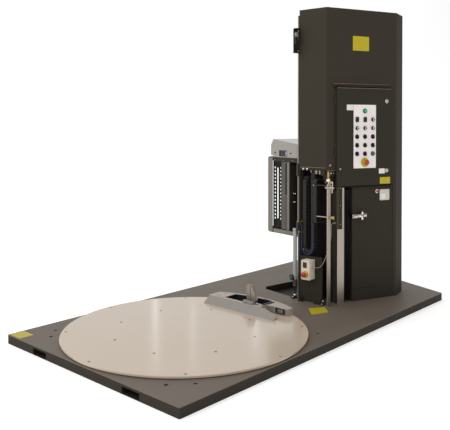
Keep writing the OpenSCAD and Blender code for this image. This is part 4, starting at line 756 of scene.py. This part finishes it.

# Bay: header bolts, fittings (x, radius, length) and a coil under the header, painted highlights along the lips'
# edges, mast bolts, stand-offs
bayHead = {"z": 1100, "bolts": (208, 173), "fittings": ((84, 13, 27), (53, 9, 30), (132, 5, 18))}
screws("headerBolts", "hex", [(x, 3, bayHead["z"] + 7) for x in bayHead["bolts"]], outward, 8, leftFace, chrome,
       "base")
bm, caps = bmesh.new(), bmesh.new()
for x, r, length in bayHead["fittings"]:
    addTurned(bm, [(r * 0.6, 0), (r * 0.6, 3), (r, 3), (r, length * 0.4), (r * 0.75, length * 0.46),
                   (r * 0.75, length * 0.52), (r, length * 0.58), (r, length - 3), (r * 0.7, length), (0, length)],
              out((x, 8, bayHead["z"]), down), 24)
    addTurned(caps, [(r * 0.5, 0), (r * 1.12, 0), (r * 1.12, 2.6), (r * 0.5, 2.6)],
              out((x, 8, bayHead["z"] - 0.1), down), 6)
put("headerFittings", bm, leftFace, castGrey, "base")
put("headerNuts", caps, leftFace, brass, "base")
coilRibs = [((7, -7, 1066 + 6 * k), (37, 17, 1068.4 + 6 * k), 0.5) for k in range(5)]
boxes("headerCoil", [((8, -6, 1062), (36, 16, 1099), 2)] + coilRibs, leftFace, blackPlastic, "base")
boxes("headerLipHighlight", [((6, 2.6, 1120.6), (236, 4.2, 1124), 0.4)], leftFace, edgeHighlight, "base")
boxes("stripEdgeHighlight", [((4, -1.3, 1099.4), (88, 0.6, 1102.6), 0.4), ((106, -1.2, 644), (108.4, 0.6, 976), 0.4)],
      tower, edgeHighlight, "base")
screws("headerPin", "hex", [(32, 0, 1142)], front, 7, tower, jawSteel, "base")
screws("doorPin", "hex", [(112, -22, 1112)], front, 7, tower, jawSteel, "control_door")
screws("mastBolts", "hex", [(8, 217, z) for z in (958, 775, 489, 300)] + [(-66, 217, z) for z in (880, 560)],
       front, 8, tower, chrome, "base")
bm = bmesh.new()
for z, length in ((690, 42), (606, 34)):
    addTurned(bm, [(9, 0), (9, 5), (5, 5), (5, length - 9), (7.5, length - 9), (7.5, length - 2), (6, length),
                   (0, length)], out((-92, 205, z), left), 18)
put("bayStandoffs", bm, tower, brass, "base")

# Coil plugs, push-in fittings and overrides of the valve bank
valveBank = {"first": 6, "pitch": 27, "count": 3}
bm, fit, dots = bmesh.new(), bmesh.new(), bmesh.new()
for k in range(valveBank["count"]):
    u = valveBank["first"] + valveBank["pitch"] * k
    addBox(bm, (u + 2, 10, 1024), (u + 20, 18, 1050), 1.5)
    addTurned(bm, [(3, 0), (4.4, 0), (4.4, 5), (3, 6), (0, 6)], out((u + 11, 14, 1024), down), 14)
    addTurned(fit, [(3, 0), (6.8, 0), (6.8, 4), (5, 4), (5, 7), (6.2, 7), (6.2, 10), (3.4, 11), (0, 9)],
              out((u + 11, 36, 1012), down), 16)
    addTurned(dots, [(5.2, 0), (5.2, 3), (4, 4), (1.4, 4), (1.2, 3), (0, 3)], out((u + 11, 5, 1080), front), 16)
put("valvePlugs", bm, tower, blackPlastic, "base")
put("valveFittings", fit, tower, brass, "base")
put("valveOverrides", dots, tower, chrome, "base")

# Angle feet of the tower with their bolts, screws of the lower cover and of the front strip
towerFeet = {"frontFoot": (8, chrome), "rearFoot": (202, bayCoat)}
bm = bmesh.new()
for x, coat in towerFeet.values():
    addBox(bm, (x, 0, deckTop), (x + 40, 34, 66), 1.2)
    addBox(bm, (x, 0.2, 62), (x + 40, 5.4, 100), 1.2)
put("towerFeet", bm, leftFace, bayCoat, "base")
for name, (x, coat) in towerFeet.items():
    screws(name + "Bolt", "hex", [(x + 20, 20, 66)], up, 7, leftFace, coat, "base")
    screws(name + "Screw", "hex", [(x + 20, 5.4, 86)], outward, 5, leftFace, coat, "base")
screws("coverScrews", "pan", [(x, 0, z) for x in (20, 60, 226) for z in (120, 230, 404)], outward, 4, leftFace,
       bayCoat, "base")
screws("stripScrews", "pan", [(128, 0, z) for z in (679, 825, 960)], front, 3.6, tower, zincPlate, "base")
print("bay made")

# Cutter arm: nuts on its rods, a clamp at the top, screws in the bar's edge, hand knob
cutterArm = {"bar": (-27, -17), "middleY": 2, "crossY": 20, "rods": (742, 986)}
bm = bmesh.new()
for z in cutterArm["rods"]:
    for x, way in zip(cutterArm["bar"], (left, right)):
        addTurned(bm, [(6.2, 0), (13, 0), (13, 1.6), (10.5, 1.6), (10.5, 8), (9.6, 9), (6.2, 9)],
                  out((x, cutterArm["middleY"], z), way), 6)
put("cutterNuts", bm, leftFace, zincPlate, "cutter_arm")
boxes("cutterCross", [((-78, 15, 966), (-2, 25, 980), 1.5)], leftFace, brushedSteel, "cutter_arm")
head, tips, sleeves = bmesh.new(), bmesh.new(), bmesh.new()
addBox(head, (-32, -8, 1018), (-6, 12, 1038), 1.5)
addTurned(head, [(4, 0), (4, 22)], out((-19, cutterArm["middleY"], 997), up), 12)
addTurned(head, [(2.2, 0), (2.2, 42), (1.4, 43.4), (0, 43.4)], out((-66, cutterArm["crossY"], 979), up), 12)
addTurned(head, [(3, 0), (3, 24)], out((-62, cutterArm["crossY"], 943), up), 12)
put("cutterHead", head, leftFace, chrome, "cutter_arm")
addTurned(tips, [(7, 0), (9, 1), (9, 12), (7.4, 14), (7.4, 18), (9, 20), (9, 50), (7.6, 54), (3, 58), (0, 58)],
          out((-18, cutterArm["middleY"], 1038), up), 20)
addTurned(tips, [(5, 0), (7.4, 0.6), (7.4, 9.4), (5, 10)], out((-62, cutterArm["crossY"], 934), up), 6)
addBox(tips, (-50, -2, 1002), (-30, 10, 1024), 2)
put("cutterBrass", tips, leftFace, brass, "cutter_arm")
addTurned(sleeves, [(13.1, 0), (13.8, 0.6), (13.8, 323.8), (13.1, 324.4)],
          out((97, cutterArm["middleY"], 698.8), up), 28)
addTurned(sleeves, [(6.1, 0), (6.8, 0.4), (6.8, 91), (6.1, 91.4)],
          out((-7.8, cutterArm["middleY"], cutterArm["rods"][1]), right), 18)
put("cutterSleeves", sleeves, leftFace, blackPlastic, "cutter_arm")
screws("cutterScrews", "socket", [(-22, 22, z) for z in (420, 480, 900)], outward, 3.4, leftFace, chrome,
       "cutter_arm")
turnings("cutterKnob", [(7, 0), (14.4, 0), (15.2, 2), (15.2, 12), (14, 15), (9, 16.4), (0, 16.6)],
         [(-51, cutterArm["middleY"], cutterArm["rods"][0])], left, 20, leftFace, brass, "cutter_arm")

# Air valve: hex nuts (place, radius, length), knurled sleeve, thread rings, bleed screw, tee with silencers
airValve = {"u": 220, "v": -23, "z": 738, "nuts": ((0, 17, 9), (41, 16.5, 10), (82, 15.5, 12)), "thread": 98,
            "knurl": 12, "bleed": 66, "tee": 100,
            "caps": {"valveCapRed": (88, redPlastic), "valveCapGreen": (76, greenPlastic)}}


def valveSpot(along, dv=0, dz=0):
    return airValve["u"] + along, airValve["v"] + dv, airValve["z"] + dz


bm, rings = bmesh.new(), bmesh.new()
for along, r, length in airValve["nuts"]:
    addTurned(bm, [(12, 0), (r - 1.4, 0), (r, 1.4), (r, length - 1.4), (r - 1.4, length), (12, length)],
              out(valveSpot(along), right), 6)
for k in range(7):
    addTurned(rings, [(12.8, 0), (13.8, 0.6), (12.8, 1.2)], out(valveSpot(airValve["thread"] + 1.4 * k), right), 24)
for k in range(20):
    addTurned(rings, [(1.1, 0), (1.1, 26)], out(valveSpot(airValve["knurl"], *around(17.6, 18 * k)), right), 6)
addTurned(bm, [(6.2, 0), (8.5, 0), (8.5, 5), (7, 6), (0, 6)], out(valveSpot(airValve["bleed"], -23), front), 6)
put("airValveNuts", bm, tower, chrome, "base")
bm, silencers = bmesh.new(), bmesh.new()
for way in (down, up):
    tee = out(valveSpot(airValve["tee"]), way)
    addTurned(bm, [(0, 0), (8, 0), (8, 20), (10.5, 20), (10.5, 27), (0, 27)], tee, 20)
    addTurned(silencers, [(0, 26), (7, 26), (7, 34), (5, 37), (0, 37)], tee, 16)
put("valveTee", bm, tower, chrome, "base")
put("valveSilencers", silencers, tower, brass, "base")
for name, (along, coat) in airValve["caps"].items():
    turnings(name, [(3, 0), (4.6, 0), (4.6, 5), (3.6, 6.4), (0, 6.4)], [valveSpot(along, -2, -12.4)], down, 14,
             tower, coat, "base")
put("airValveRings", rings, tower, brass, "base")
print("valves made")

# Roper: collars and a sleeve on the tube, rubber tyre on its roller, chrome dome on its foot
roper = {"u": -112, "v": 285, "collars": (214, 612), "sleeve": 161, "roller": (-154, 230), "dome": 82}
turnings("roperCollars", [(16.1, 0), (18.6, 0), (19.2, 0.8), (19.2, 9), (18.6, 10), (16.1, 10)],
         [(roper["u"], roper["v"], z) for z in roper["collars"]], up, 28, tower, zincPlate, "roper_tube")
turnings("roperSleeve", [(16.1, 0), (16.9, 0.6), (16.9, 51), (16.1, 51.6)],
         [(roper["u"], roper["v"], roper["sleeve"])], up, 28, tower, oliveCoat, "roper_tube")
turnings("roperTyre", [(21, 0), (23, 1), (23.6, 4), (23.6, 18), (23, 21), (21, 22)],
         [(roper["roller"][0], roper["v"], roper["roller"][1])], right, 32, tower, blackRubber, "roper_tube",
         softEdge)
turnings("roperDome", [(5.4, 0), (12, 0), (12.6, 2), (11, 7), (7.4, 10), (5.4, 10.6)],
         [(roper["u"], roper["v"], roper["dome"])], up, 28, tower, chrome, "base", softEdge)
screws("roperFootBolts", "hex", [(roper["u"] - 20, roper["v"], 68)], up, 6, tower, chrome, "base")

# Limit switch on the mast's bracket: housing with lever and roller
limitSwitch = {"low": (-160, 197, 2124), "high": (-134, 216, 2186), "pivot": (-147, 197, 2168),
               "roller": (-168, 190, 2166)}
bm, lever = bmesh.new(), bmesh.new()
addBox(bm, limitSwitch["low"], limitSwitch["high"], 2)
addTurned(bm, [(8, 0), (8, 3), (5, 4), (5, 7), (0, 7)], out(limitSwitch["pivot"], front), 18)
addBox(lever, (-172, 190, 2160), (-143, 193, 2172), 1)
addTurned(lever, [(2, 0), (7, 0), (7, 6), (2, 6)], out(limitSwitch["roller"], front), 20)
put("limitSwitch", bm, tower, castGrey, "base")
put("limitLever", lever, tower, zincPlate, "base")
screws("limitScrews", "hex", [(-124, 217, z) for z in (2040, 2200)], front, 5, tower, zincPlate, "base")
print("roper made")

# Carriage: folded cover beside the guard, trim, hose fittings, hood window with its strips, screws
rollerCover = {"near": 100, "far": 174, "low": 40, "high": 600, "sheet": 3}
near, far, low, high = (rollerCover[key] for key in ("near", "far", "low", "high"))
boxes("rollerCover", [((3, near, low), (6, far, high), 0.8),
                      ((3, far - rollerCover["sheet"], low), (13, far, high), 0.8),
                      ((3, near, low), (13, near + rollerCover["sheet"], high), 0.8)],
      carriage, coverSteel, "carriage")
boxes("rollerCoverSlot", [((2, 112, 330), (3.2, 124, 590), 0.3)], carriage, holeDark, "carriage")
screws("rollerCoverScrews", "pan", [(3, 137, z) for z in (52, 320, 588)], left, 4, carriage, zincPlate, "carriage")
boxes("frameTrim", [((-1.2, 76, 40), (0.4, 98, 598), 0.5), ((-1.2, -4, 1), (0.4, 270, 34), 0.5)], carriage,
      gateSteel, "carriage")
turnings("wallFittings", [(9, 0), (9, 6), (6, 6), (6, 12), (8, 12), (8, 22), (5, 25), (0, 25)],
         [(46, 72, z) for z in (341, 271)], front, 16, carriage, chrome, "carriage")
hoodWindow = {"low": (3.2, 105, 647), "high": (6, 198, 693),
              "strips": {"hoodStripRed": (148, 162, lensRed), "hoodStripPale": (112, 124, lensBlue),
                         "hoodStripBlue": (164, 168, hoseBlue)},
              "bars": ((103, 106.4, 645, 695), (196.6, 200, 645, 695), (103, 200, 645, 648.4),
                       (103, 200, 691.6, 695))}
boxes("hoodWindow", [(hoodWindow["low"], hoodWindow["high"], 0.4)], carriage, darkGlass, "carriage")
for name, (near, far, coat) in hoodWindow["strips"].items():
    boxes(name, [((2.4, near, 652), (3.4, far, 688), 0.3)], carriage, coat, "carriage")
boxes("hoodWindowFrame", [((-1.2, near, low), (1, far, high), 0.4) for near, far, low, high in hoodWindow["bars"]],
      carriage, blackPlastic, "carriage")
screws("hoodScrews", "socket", [(0, 248, 673), (0, 58, 673)], left, 6, carriage, markBlack, "carriage")
screws("frameScrews", "socket", [(0, a, z) for a in (30, 140, 250) for z in (20, 614)], left, 4, carriage,
       zincPlate, "carriage")
print("carriage made")

# Film clamp: dark tray in the mouth, liner and rubber edge round it, cover over its left end, slots
clampMouth = {"near": 640, "right": -110, "left": 228, "arc": 791.5, "far": 790, "edgeZ": 49.6, "top": 49.8}
plates("clampTray", [([(641, -108), (780, -108), (776, 150), (741, 268), (641, 298)], 0.3, 2)], disc, bayCoat,
       "turntable")


def mouthLine(grow, steps=14):
    low, high = clampMouth["right"] - grow, clampMouth["left"] + grow
    ys = [low + (high - low) * k / steps for k in range(steps + 1)]
    return [(min(clampMouth["far"] + grow, math.sqrt((clampMouth["arc"] + grow) ** 2 - y * y)), y) for y in ys]


inner, outer, near = mouthLine(2), mouthLine(3.6), clampMouth["near"] - 2
plates("clampLiner", [(inner + [(near, inner[-1][1]), (near, outer[-1][1])] + outer[::-1], 2.2, 45.6)], disc,
       navyCoat, "turntable")
bm = bmesh.new()
line, near = mouthLine(-1), clampMouth["near"] + 1
line += [(near, line[-1][1]), (near, line[0][1]), line[0]]
addTube(bm, [(x, y, clampMouth["edgeZ"]) for x, y in line], 2.4, 8)
put("clampEdge", bm, disc, blackRubber, "turntable", softEdge)
boxes("clampInnerPlate", [((698, -286, 9), (700, -230, 41), 0.5)], disc, clampZinc, "turntable")
arcEnd = [(math.sqrt(800 ** 2 - y * y), y) for y in (229, 250, 270, 290, 308)]
plates("mouthCover", [(arcEnd + [(631, 308), (631, 229)], clampMouth["top"], 51.4)], disc, clampCream, "turntable")
screws("mouthCoverScrews", "flush", [(650, 298, 51.4), (720, 298, 51.4)], up, 6, disc, bayCoat, "turntable")
slotLines = ([(652, -114), (787, -114), (782, -150), (706, -150), (697, -138), (652, -138)],
             [(795, -24), (806, -24), (800, -90), (793, -114), (789, -114), (793, -90)])
plates("mouthSlots", [(outline, clampMouth["top"], 50.5) for outline in slotLines], disc, navyCoat, "turntable")

# Cylinder side of the clamp: face plate, toe plates of the ramp, jaw pad, spring, cylinder caps with tie rods
clampFace = {"x": 690, "z": 25, "slope": math.atan2(50, 70), "slopeStart": 540}
bm = bmesh.new()
windowLine = [(x + 29.75, z) for x, z in roundedOutline(75.5, 34, 2)]
addRing(bm, roundedOutline(191, 46, 2), windowLine, 0, 0.8, out((clampFace["x"], -237.5, clampFace["z"]), left))
put("boxFace", bm, disc, clampZinc, "turntable")
plates("toePlate", [([(610, -187), (664, -177), (661, -220), (590, -322), (576, -326)], 0.1, 2.2)], disc, discSteel,
       "turntable")
bm = bmesh.new()
onSlope = Matrix.Translation((clampFace["slopeStart"], 0, 0)) @ Matrix.Rotation(-clampFace["slope"], 4, "Y")
addPlate(bm, [(86, -189), (43.6, -326), (1.2, -326), (19.7, -268)], 0.2, 1, onSlope)
put("rampToe", bm, disc, clampZinc, "turntable")
screws("rampToeScrew", "flush", [(598, -286, 2.2)], up, 6, disc, bayCoat, "turntable")
boxes("jawPad", [((616, -66, clampMouth["top"]), (638, 30, 70), 2)], disc, clampZinc, "turntable")
screws("jawPadBolts", "socket", [(616, y, 60) for y in (8, -40)], left, 4, disc, chrome, "turntable")
clampSpring = {"x": 706, "y": 110, "z": 16, "radius": 7, "rise": 6.4, "wire": 1.6}
bm = bmesh.new()
coil = [(clampSpring["x"] + clampSpring["radius"] * math.cos(t), clampSpring["y"] + clampSpring["rise"] * t,
         clampSpring["z"] + clampSpring["radius"] * math.sin(t)) for t in (0.5 * k for k in range(46))]
addTube(bm, coil, clampSpring["wire"], 8)
put("clampSpring", bm, disc, chrome, "turntable", softEdge)
bm = bmesh.new()
for y in (-302, -166):
    addBox(bm, (713, y, 6), (749, y + 10, 42), 2)
for a, b in corners:
    addTurned(bm, [(2.4, 0), (2.4, 150)], out((731 + 13 * a, -306, 24 + 13 * b), outward), 8)
put("cylinderCaps", bm, disc, castGrey, "turntable")
bm = bmesh.new()
addRing(bm, roundedOutline(84, 42, 4), roundedOutline(72, 33, 3), 0, 2.4,
        out((clampFace["x"], -268, clampFace["z"]), left))
put("clampWindowFrame", bm, disc, blackPlastic, "turntable")
screws("rampScrews", "flush", [(566, y, 18.6) for y in (-240, -60, 140, 320)], (-0.58, 0, 0.81), 5, disc, clampZinc,
       "turntable")
screws("clampScrews", "pan", [(655, 340, 50), (730, 330, 50), (655, -125, 50), (800, 80, 50)], up, 5, disc,
       zincPlate, "turntable")
print("clamp made")

# Lighter skin on the bay's right wall
bayWall = {"inner": 89.2, "outer": 90, "near": 5, "far": 64, "high": 940, "screws": (468, 404)}
skin = [(bayWall[side], bayWall[end]) for side, end in (("inner", "near"), ("outer", "near"), ("outer", "far"),
                                                        ("inner", "far"))]
plates("bayWallSkin", [(skin, deckTop, bayWall["high"])], tower, doorCoat, "base")
screws("bayWallScrews", "flush", [(bayWall["inner"], 57, z) for z in bayWall["screws"]], left, 6, tower, zincPlate,
       "base")

# Switchgear behind the door, in a usual layout: plate with rails, slotted ducts, breakers, contactors, terminals
cabinet = {"u": 175, "wide": 400, "low": 1050, "high": 1700, "plateV": 205, "railV": 197.5,
           "rails": (1580, 1400, 1200), "ducts": (1670, 1490, 1300, 1090)}


# Sections drawn as (depth, height) and run along the front
def sideways(u, v, z):
    return Matrix(((0, 0, 1, u), (1, 0, 0, v), (0, 1, 0, z), (0, 0, 0, 1)))


def addStepped(bm, u, v, z, wide, high, deep):
    half = high / 2
    addPlate(bm, [(0, -half), (0, half), (-0.62 * deep, half), (-0.62 * deep, 0.55 * half), (-deep, 0.48 * half),
                  (-deep, -0.48 * half), (-0.62 * deep, -0.55 * half), (-0.62 * deep, -half)],
             0.4, wide - 0.4, sideways(u, v, z))


bm = bmesh.new()
addPlate(bm, [(0, cabinet["low"]), (2, cabinet["low"]), (2, cabinet["high"]), (0, cabinet["high"])], 0,
         cabinet["wide"], sideways(cabinet["u"], cabinet["plateV"], 0))
for u in (190, 560):
    for z in (1065, 1685):
        addTurned(bm, [(3, 0), (7, 0), (7, 10), (3, 10)], out((u, 217, z), front))
hat = [(0, -12.5), (-6.5, -12.5), (-6.5, -17.5), (-7.5, -17.5), (-7.5, -11.5), (-1, -11.5), (-1, 11.5),
       (-7.5, 11.5), (-7.5, 17.5), (-6.5, 17.5), (-6.5, 12.5), (0, 12.5)]
for z in cabinet["rails"]:
    addPlate(bm, hat, 0, 360, sideways(195, cabinet["plateV"], z))
put("cabinetRails", bm, tower, zincPlate, "base")
bm = bmesh.new()
for z in cabinet["ducts"]:
    trough = sideways(185, cabinet["plateV"], z)
    addPlate(bm, [(0, -20), (0, 20), (-18, 20), (-18, -20)], 0, 380, trough)
    addPlate(bm, [(-44, -21), (-44, 21), (-47, 21), (-47, -21)], 0, 380, trough)
    for k in range(32):
        for wall in (-20, 18.5):
            addPlate(bm, [(-18, wall), (-18, wall + 1.5), (-44, wall + 1.5), (-44, wall)], 0, 7,
                     sideways(186 + 12 * k, cabinet["plateV"], z))
put("cabinetDucts", bm, tower, cableGrey, "base")
bm, dark = bmesh.new(), bmesh.new()
upperRail, middleRail, lowerRail = cabinet["rails"]
for k in range(8):
    addStepped(bm, 210 + 18 * k, cabinet["railV"], upperRail, 18, 84, 66)
    addPlate(dark, [(-66, -6), (-66, 6), (-76, 1), (-76, -8)], 5, 13,
             sideways(210 + 18 * k, cabinet["railV"], upperRail))
for k in range(8):
    addStepped(bm, 455 + 12 * k, cabinet["railV"], lowerRail, 12, 90, 62)
put("cabinetBreakers", bm, tower, boxPlastic, "base")
for k in range(3):
    addStepped(dark, 380 + 56 * k, cabinet["railV"], upperRail, 46, 82, 88)
for u in (205, 325):
    addStepped(dark, u, cabinet["railV"], middleRail - 4, 108, 140, 124)
put("cabinetContactors", dark, tower, blackPlastic, "base")
bm = bmesh.new()
for k in range(36):
    addStepped(bm, 210 + 6.2 * k, cabinet["railV"], lowerRail, 6.2, 46, 44)
addStepped(bm, 455, cabinet["railV"], middleRail - 2, 72, 124, 100)
put("cabinetTerminals", bm, tower, castGrey, "base")
bm = bmesh.new()
for spot in [*dialSpots.values(), *selectorSpots, controls["start"], controls["lamp"], *controls["counters"]]:
    place = controlSpot(*spot)
    addStepped(bm, place.x + 14, -16, place.z, -28, 32, -46)
    for lug in (-15, 12):
        addPlate(bm, [(-22, lug), (-15, lug), (-15, lug + 3), (-22, lug + 3)], -14, 14,
                 sideways(place.x, 0, place.z))
put("contactBlocks", bm, tower, blackPlastic, "control_door")
print("switchgear made")

# Stage and light
# Studio paper: plain white, with a low glow of its own so that it stays white to its far end
paper = surface("studioPaper", "#f4f3f2", "#f8f7f6", 0.9, ior=1.4, spotMm=4000, grainMm=40, bump=0,
                extra={"Emission Color": linear("#ffffff"), "Emission Strength": 0.27})
studioFloor = {"reach": 30000, "low": -60, "high": -0.5}
reach = studioFloor["reach"]
bm = bmesh.new()
addPlate(bm, [(-reach, -reach), (reach, -reach), (reach, reach), (-reach, reach)], studioFloor["low"],
         studioFloor["high"])
floor = put("studioFloor", bm, world, paper)

# Place and target in m, size in m, power in W; the thin strips only show as soft streaks in the disc's gloss
studioLights = {
    "keyLight": ((-5.5, -4.0, 5.0), (0, 0, 0.9), (4, 3), 90),
    "sideLight": ((-6.5, 1.5, 4.0), (0, 0, 0.9), (4, 3), 60),
    "topLight": ((-0.5, 0.5, 6.5), (-0.3, 0, 0), (5, 4), 40),
    "leftStrip": ((1.393, 2.857, 1.2), (-0.93, 0.18, 1.0), (0.04, 0.9), 0.2),
    "middleStrip": ((1.731, 2.547, 1.3), (-0.76, -0.01, 1.1), (0.04, 0.75), 0.1),
    "rightStrip": ((2.255, 1.986, 1.25), (-0.47, -0.33, 1.1), (0.03, 0.3), 0.1)}
for name, (place, target, size, power) in studioLights.items():
    data = bpy.data.lights.new(name, "AREA")
    data.shape = "RECTANGLE"
    data.size, data.size_y = size
    data.energy = power
    light = bpy.data.objects.new(name, data)
    light.location = place
    light.rotation_euler = (Vector(target) - Vector(place)).to_track_quat("-Z", "Y").to_euler()
    scene.collection.objects.link(light)

# White world, dimmed on one side above the horizon so that the tower's front stays darker than its left
skyDim = {"towards": (0.62, -0.785, 0), "near": 0.2, "far": 0.75, "depth": -0.8, "bandLow": 0.07, "bandHigh": 0.27}
studio = bpy.data.worlds.new("studio")
scene.world = studio
studio.use_nodes = True
backdrop = studio.node_tree.nodes["Background"]
backdrop.inputs["Color"].default_value = linear("#ffffff")
sky = addNode(studio.node_tree, "TexCoord").outputs["Generated"]


def skyRamp(direction, near, far, most):
    along = addNode(studio.node_tree, "VectorMath", {"operation": "DOT_PRODUCT", 1: direction}, {0: sky})
    return addNode(studio.node_tree, "MapRange", {"From Min": near, "From Max": far, "To Min": 0, "To Max": most},
                   {"Value": along.outputs["Value"]}).outputs["Result"]


dimmed = addNode(studio.node_tree, "Math", {"operation": "MULTIPLY_ADD", 2: 1},
                 {0: skyRamp(skyDim["towards"], skyDim["near"], skyDim["far"], skyDim["depth"]),
                  1: skyRamp(up, skyDim["bandLow"], skyDim["bandHigh"], 1)})
studio.node_tree.links.new(dimmed.outputs["Value"], backdrop.inputs["Strength"])
scene.view_settings.view_transform = "Standard"
print("stage set")
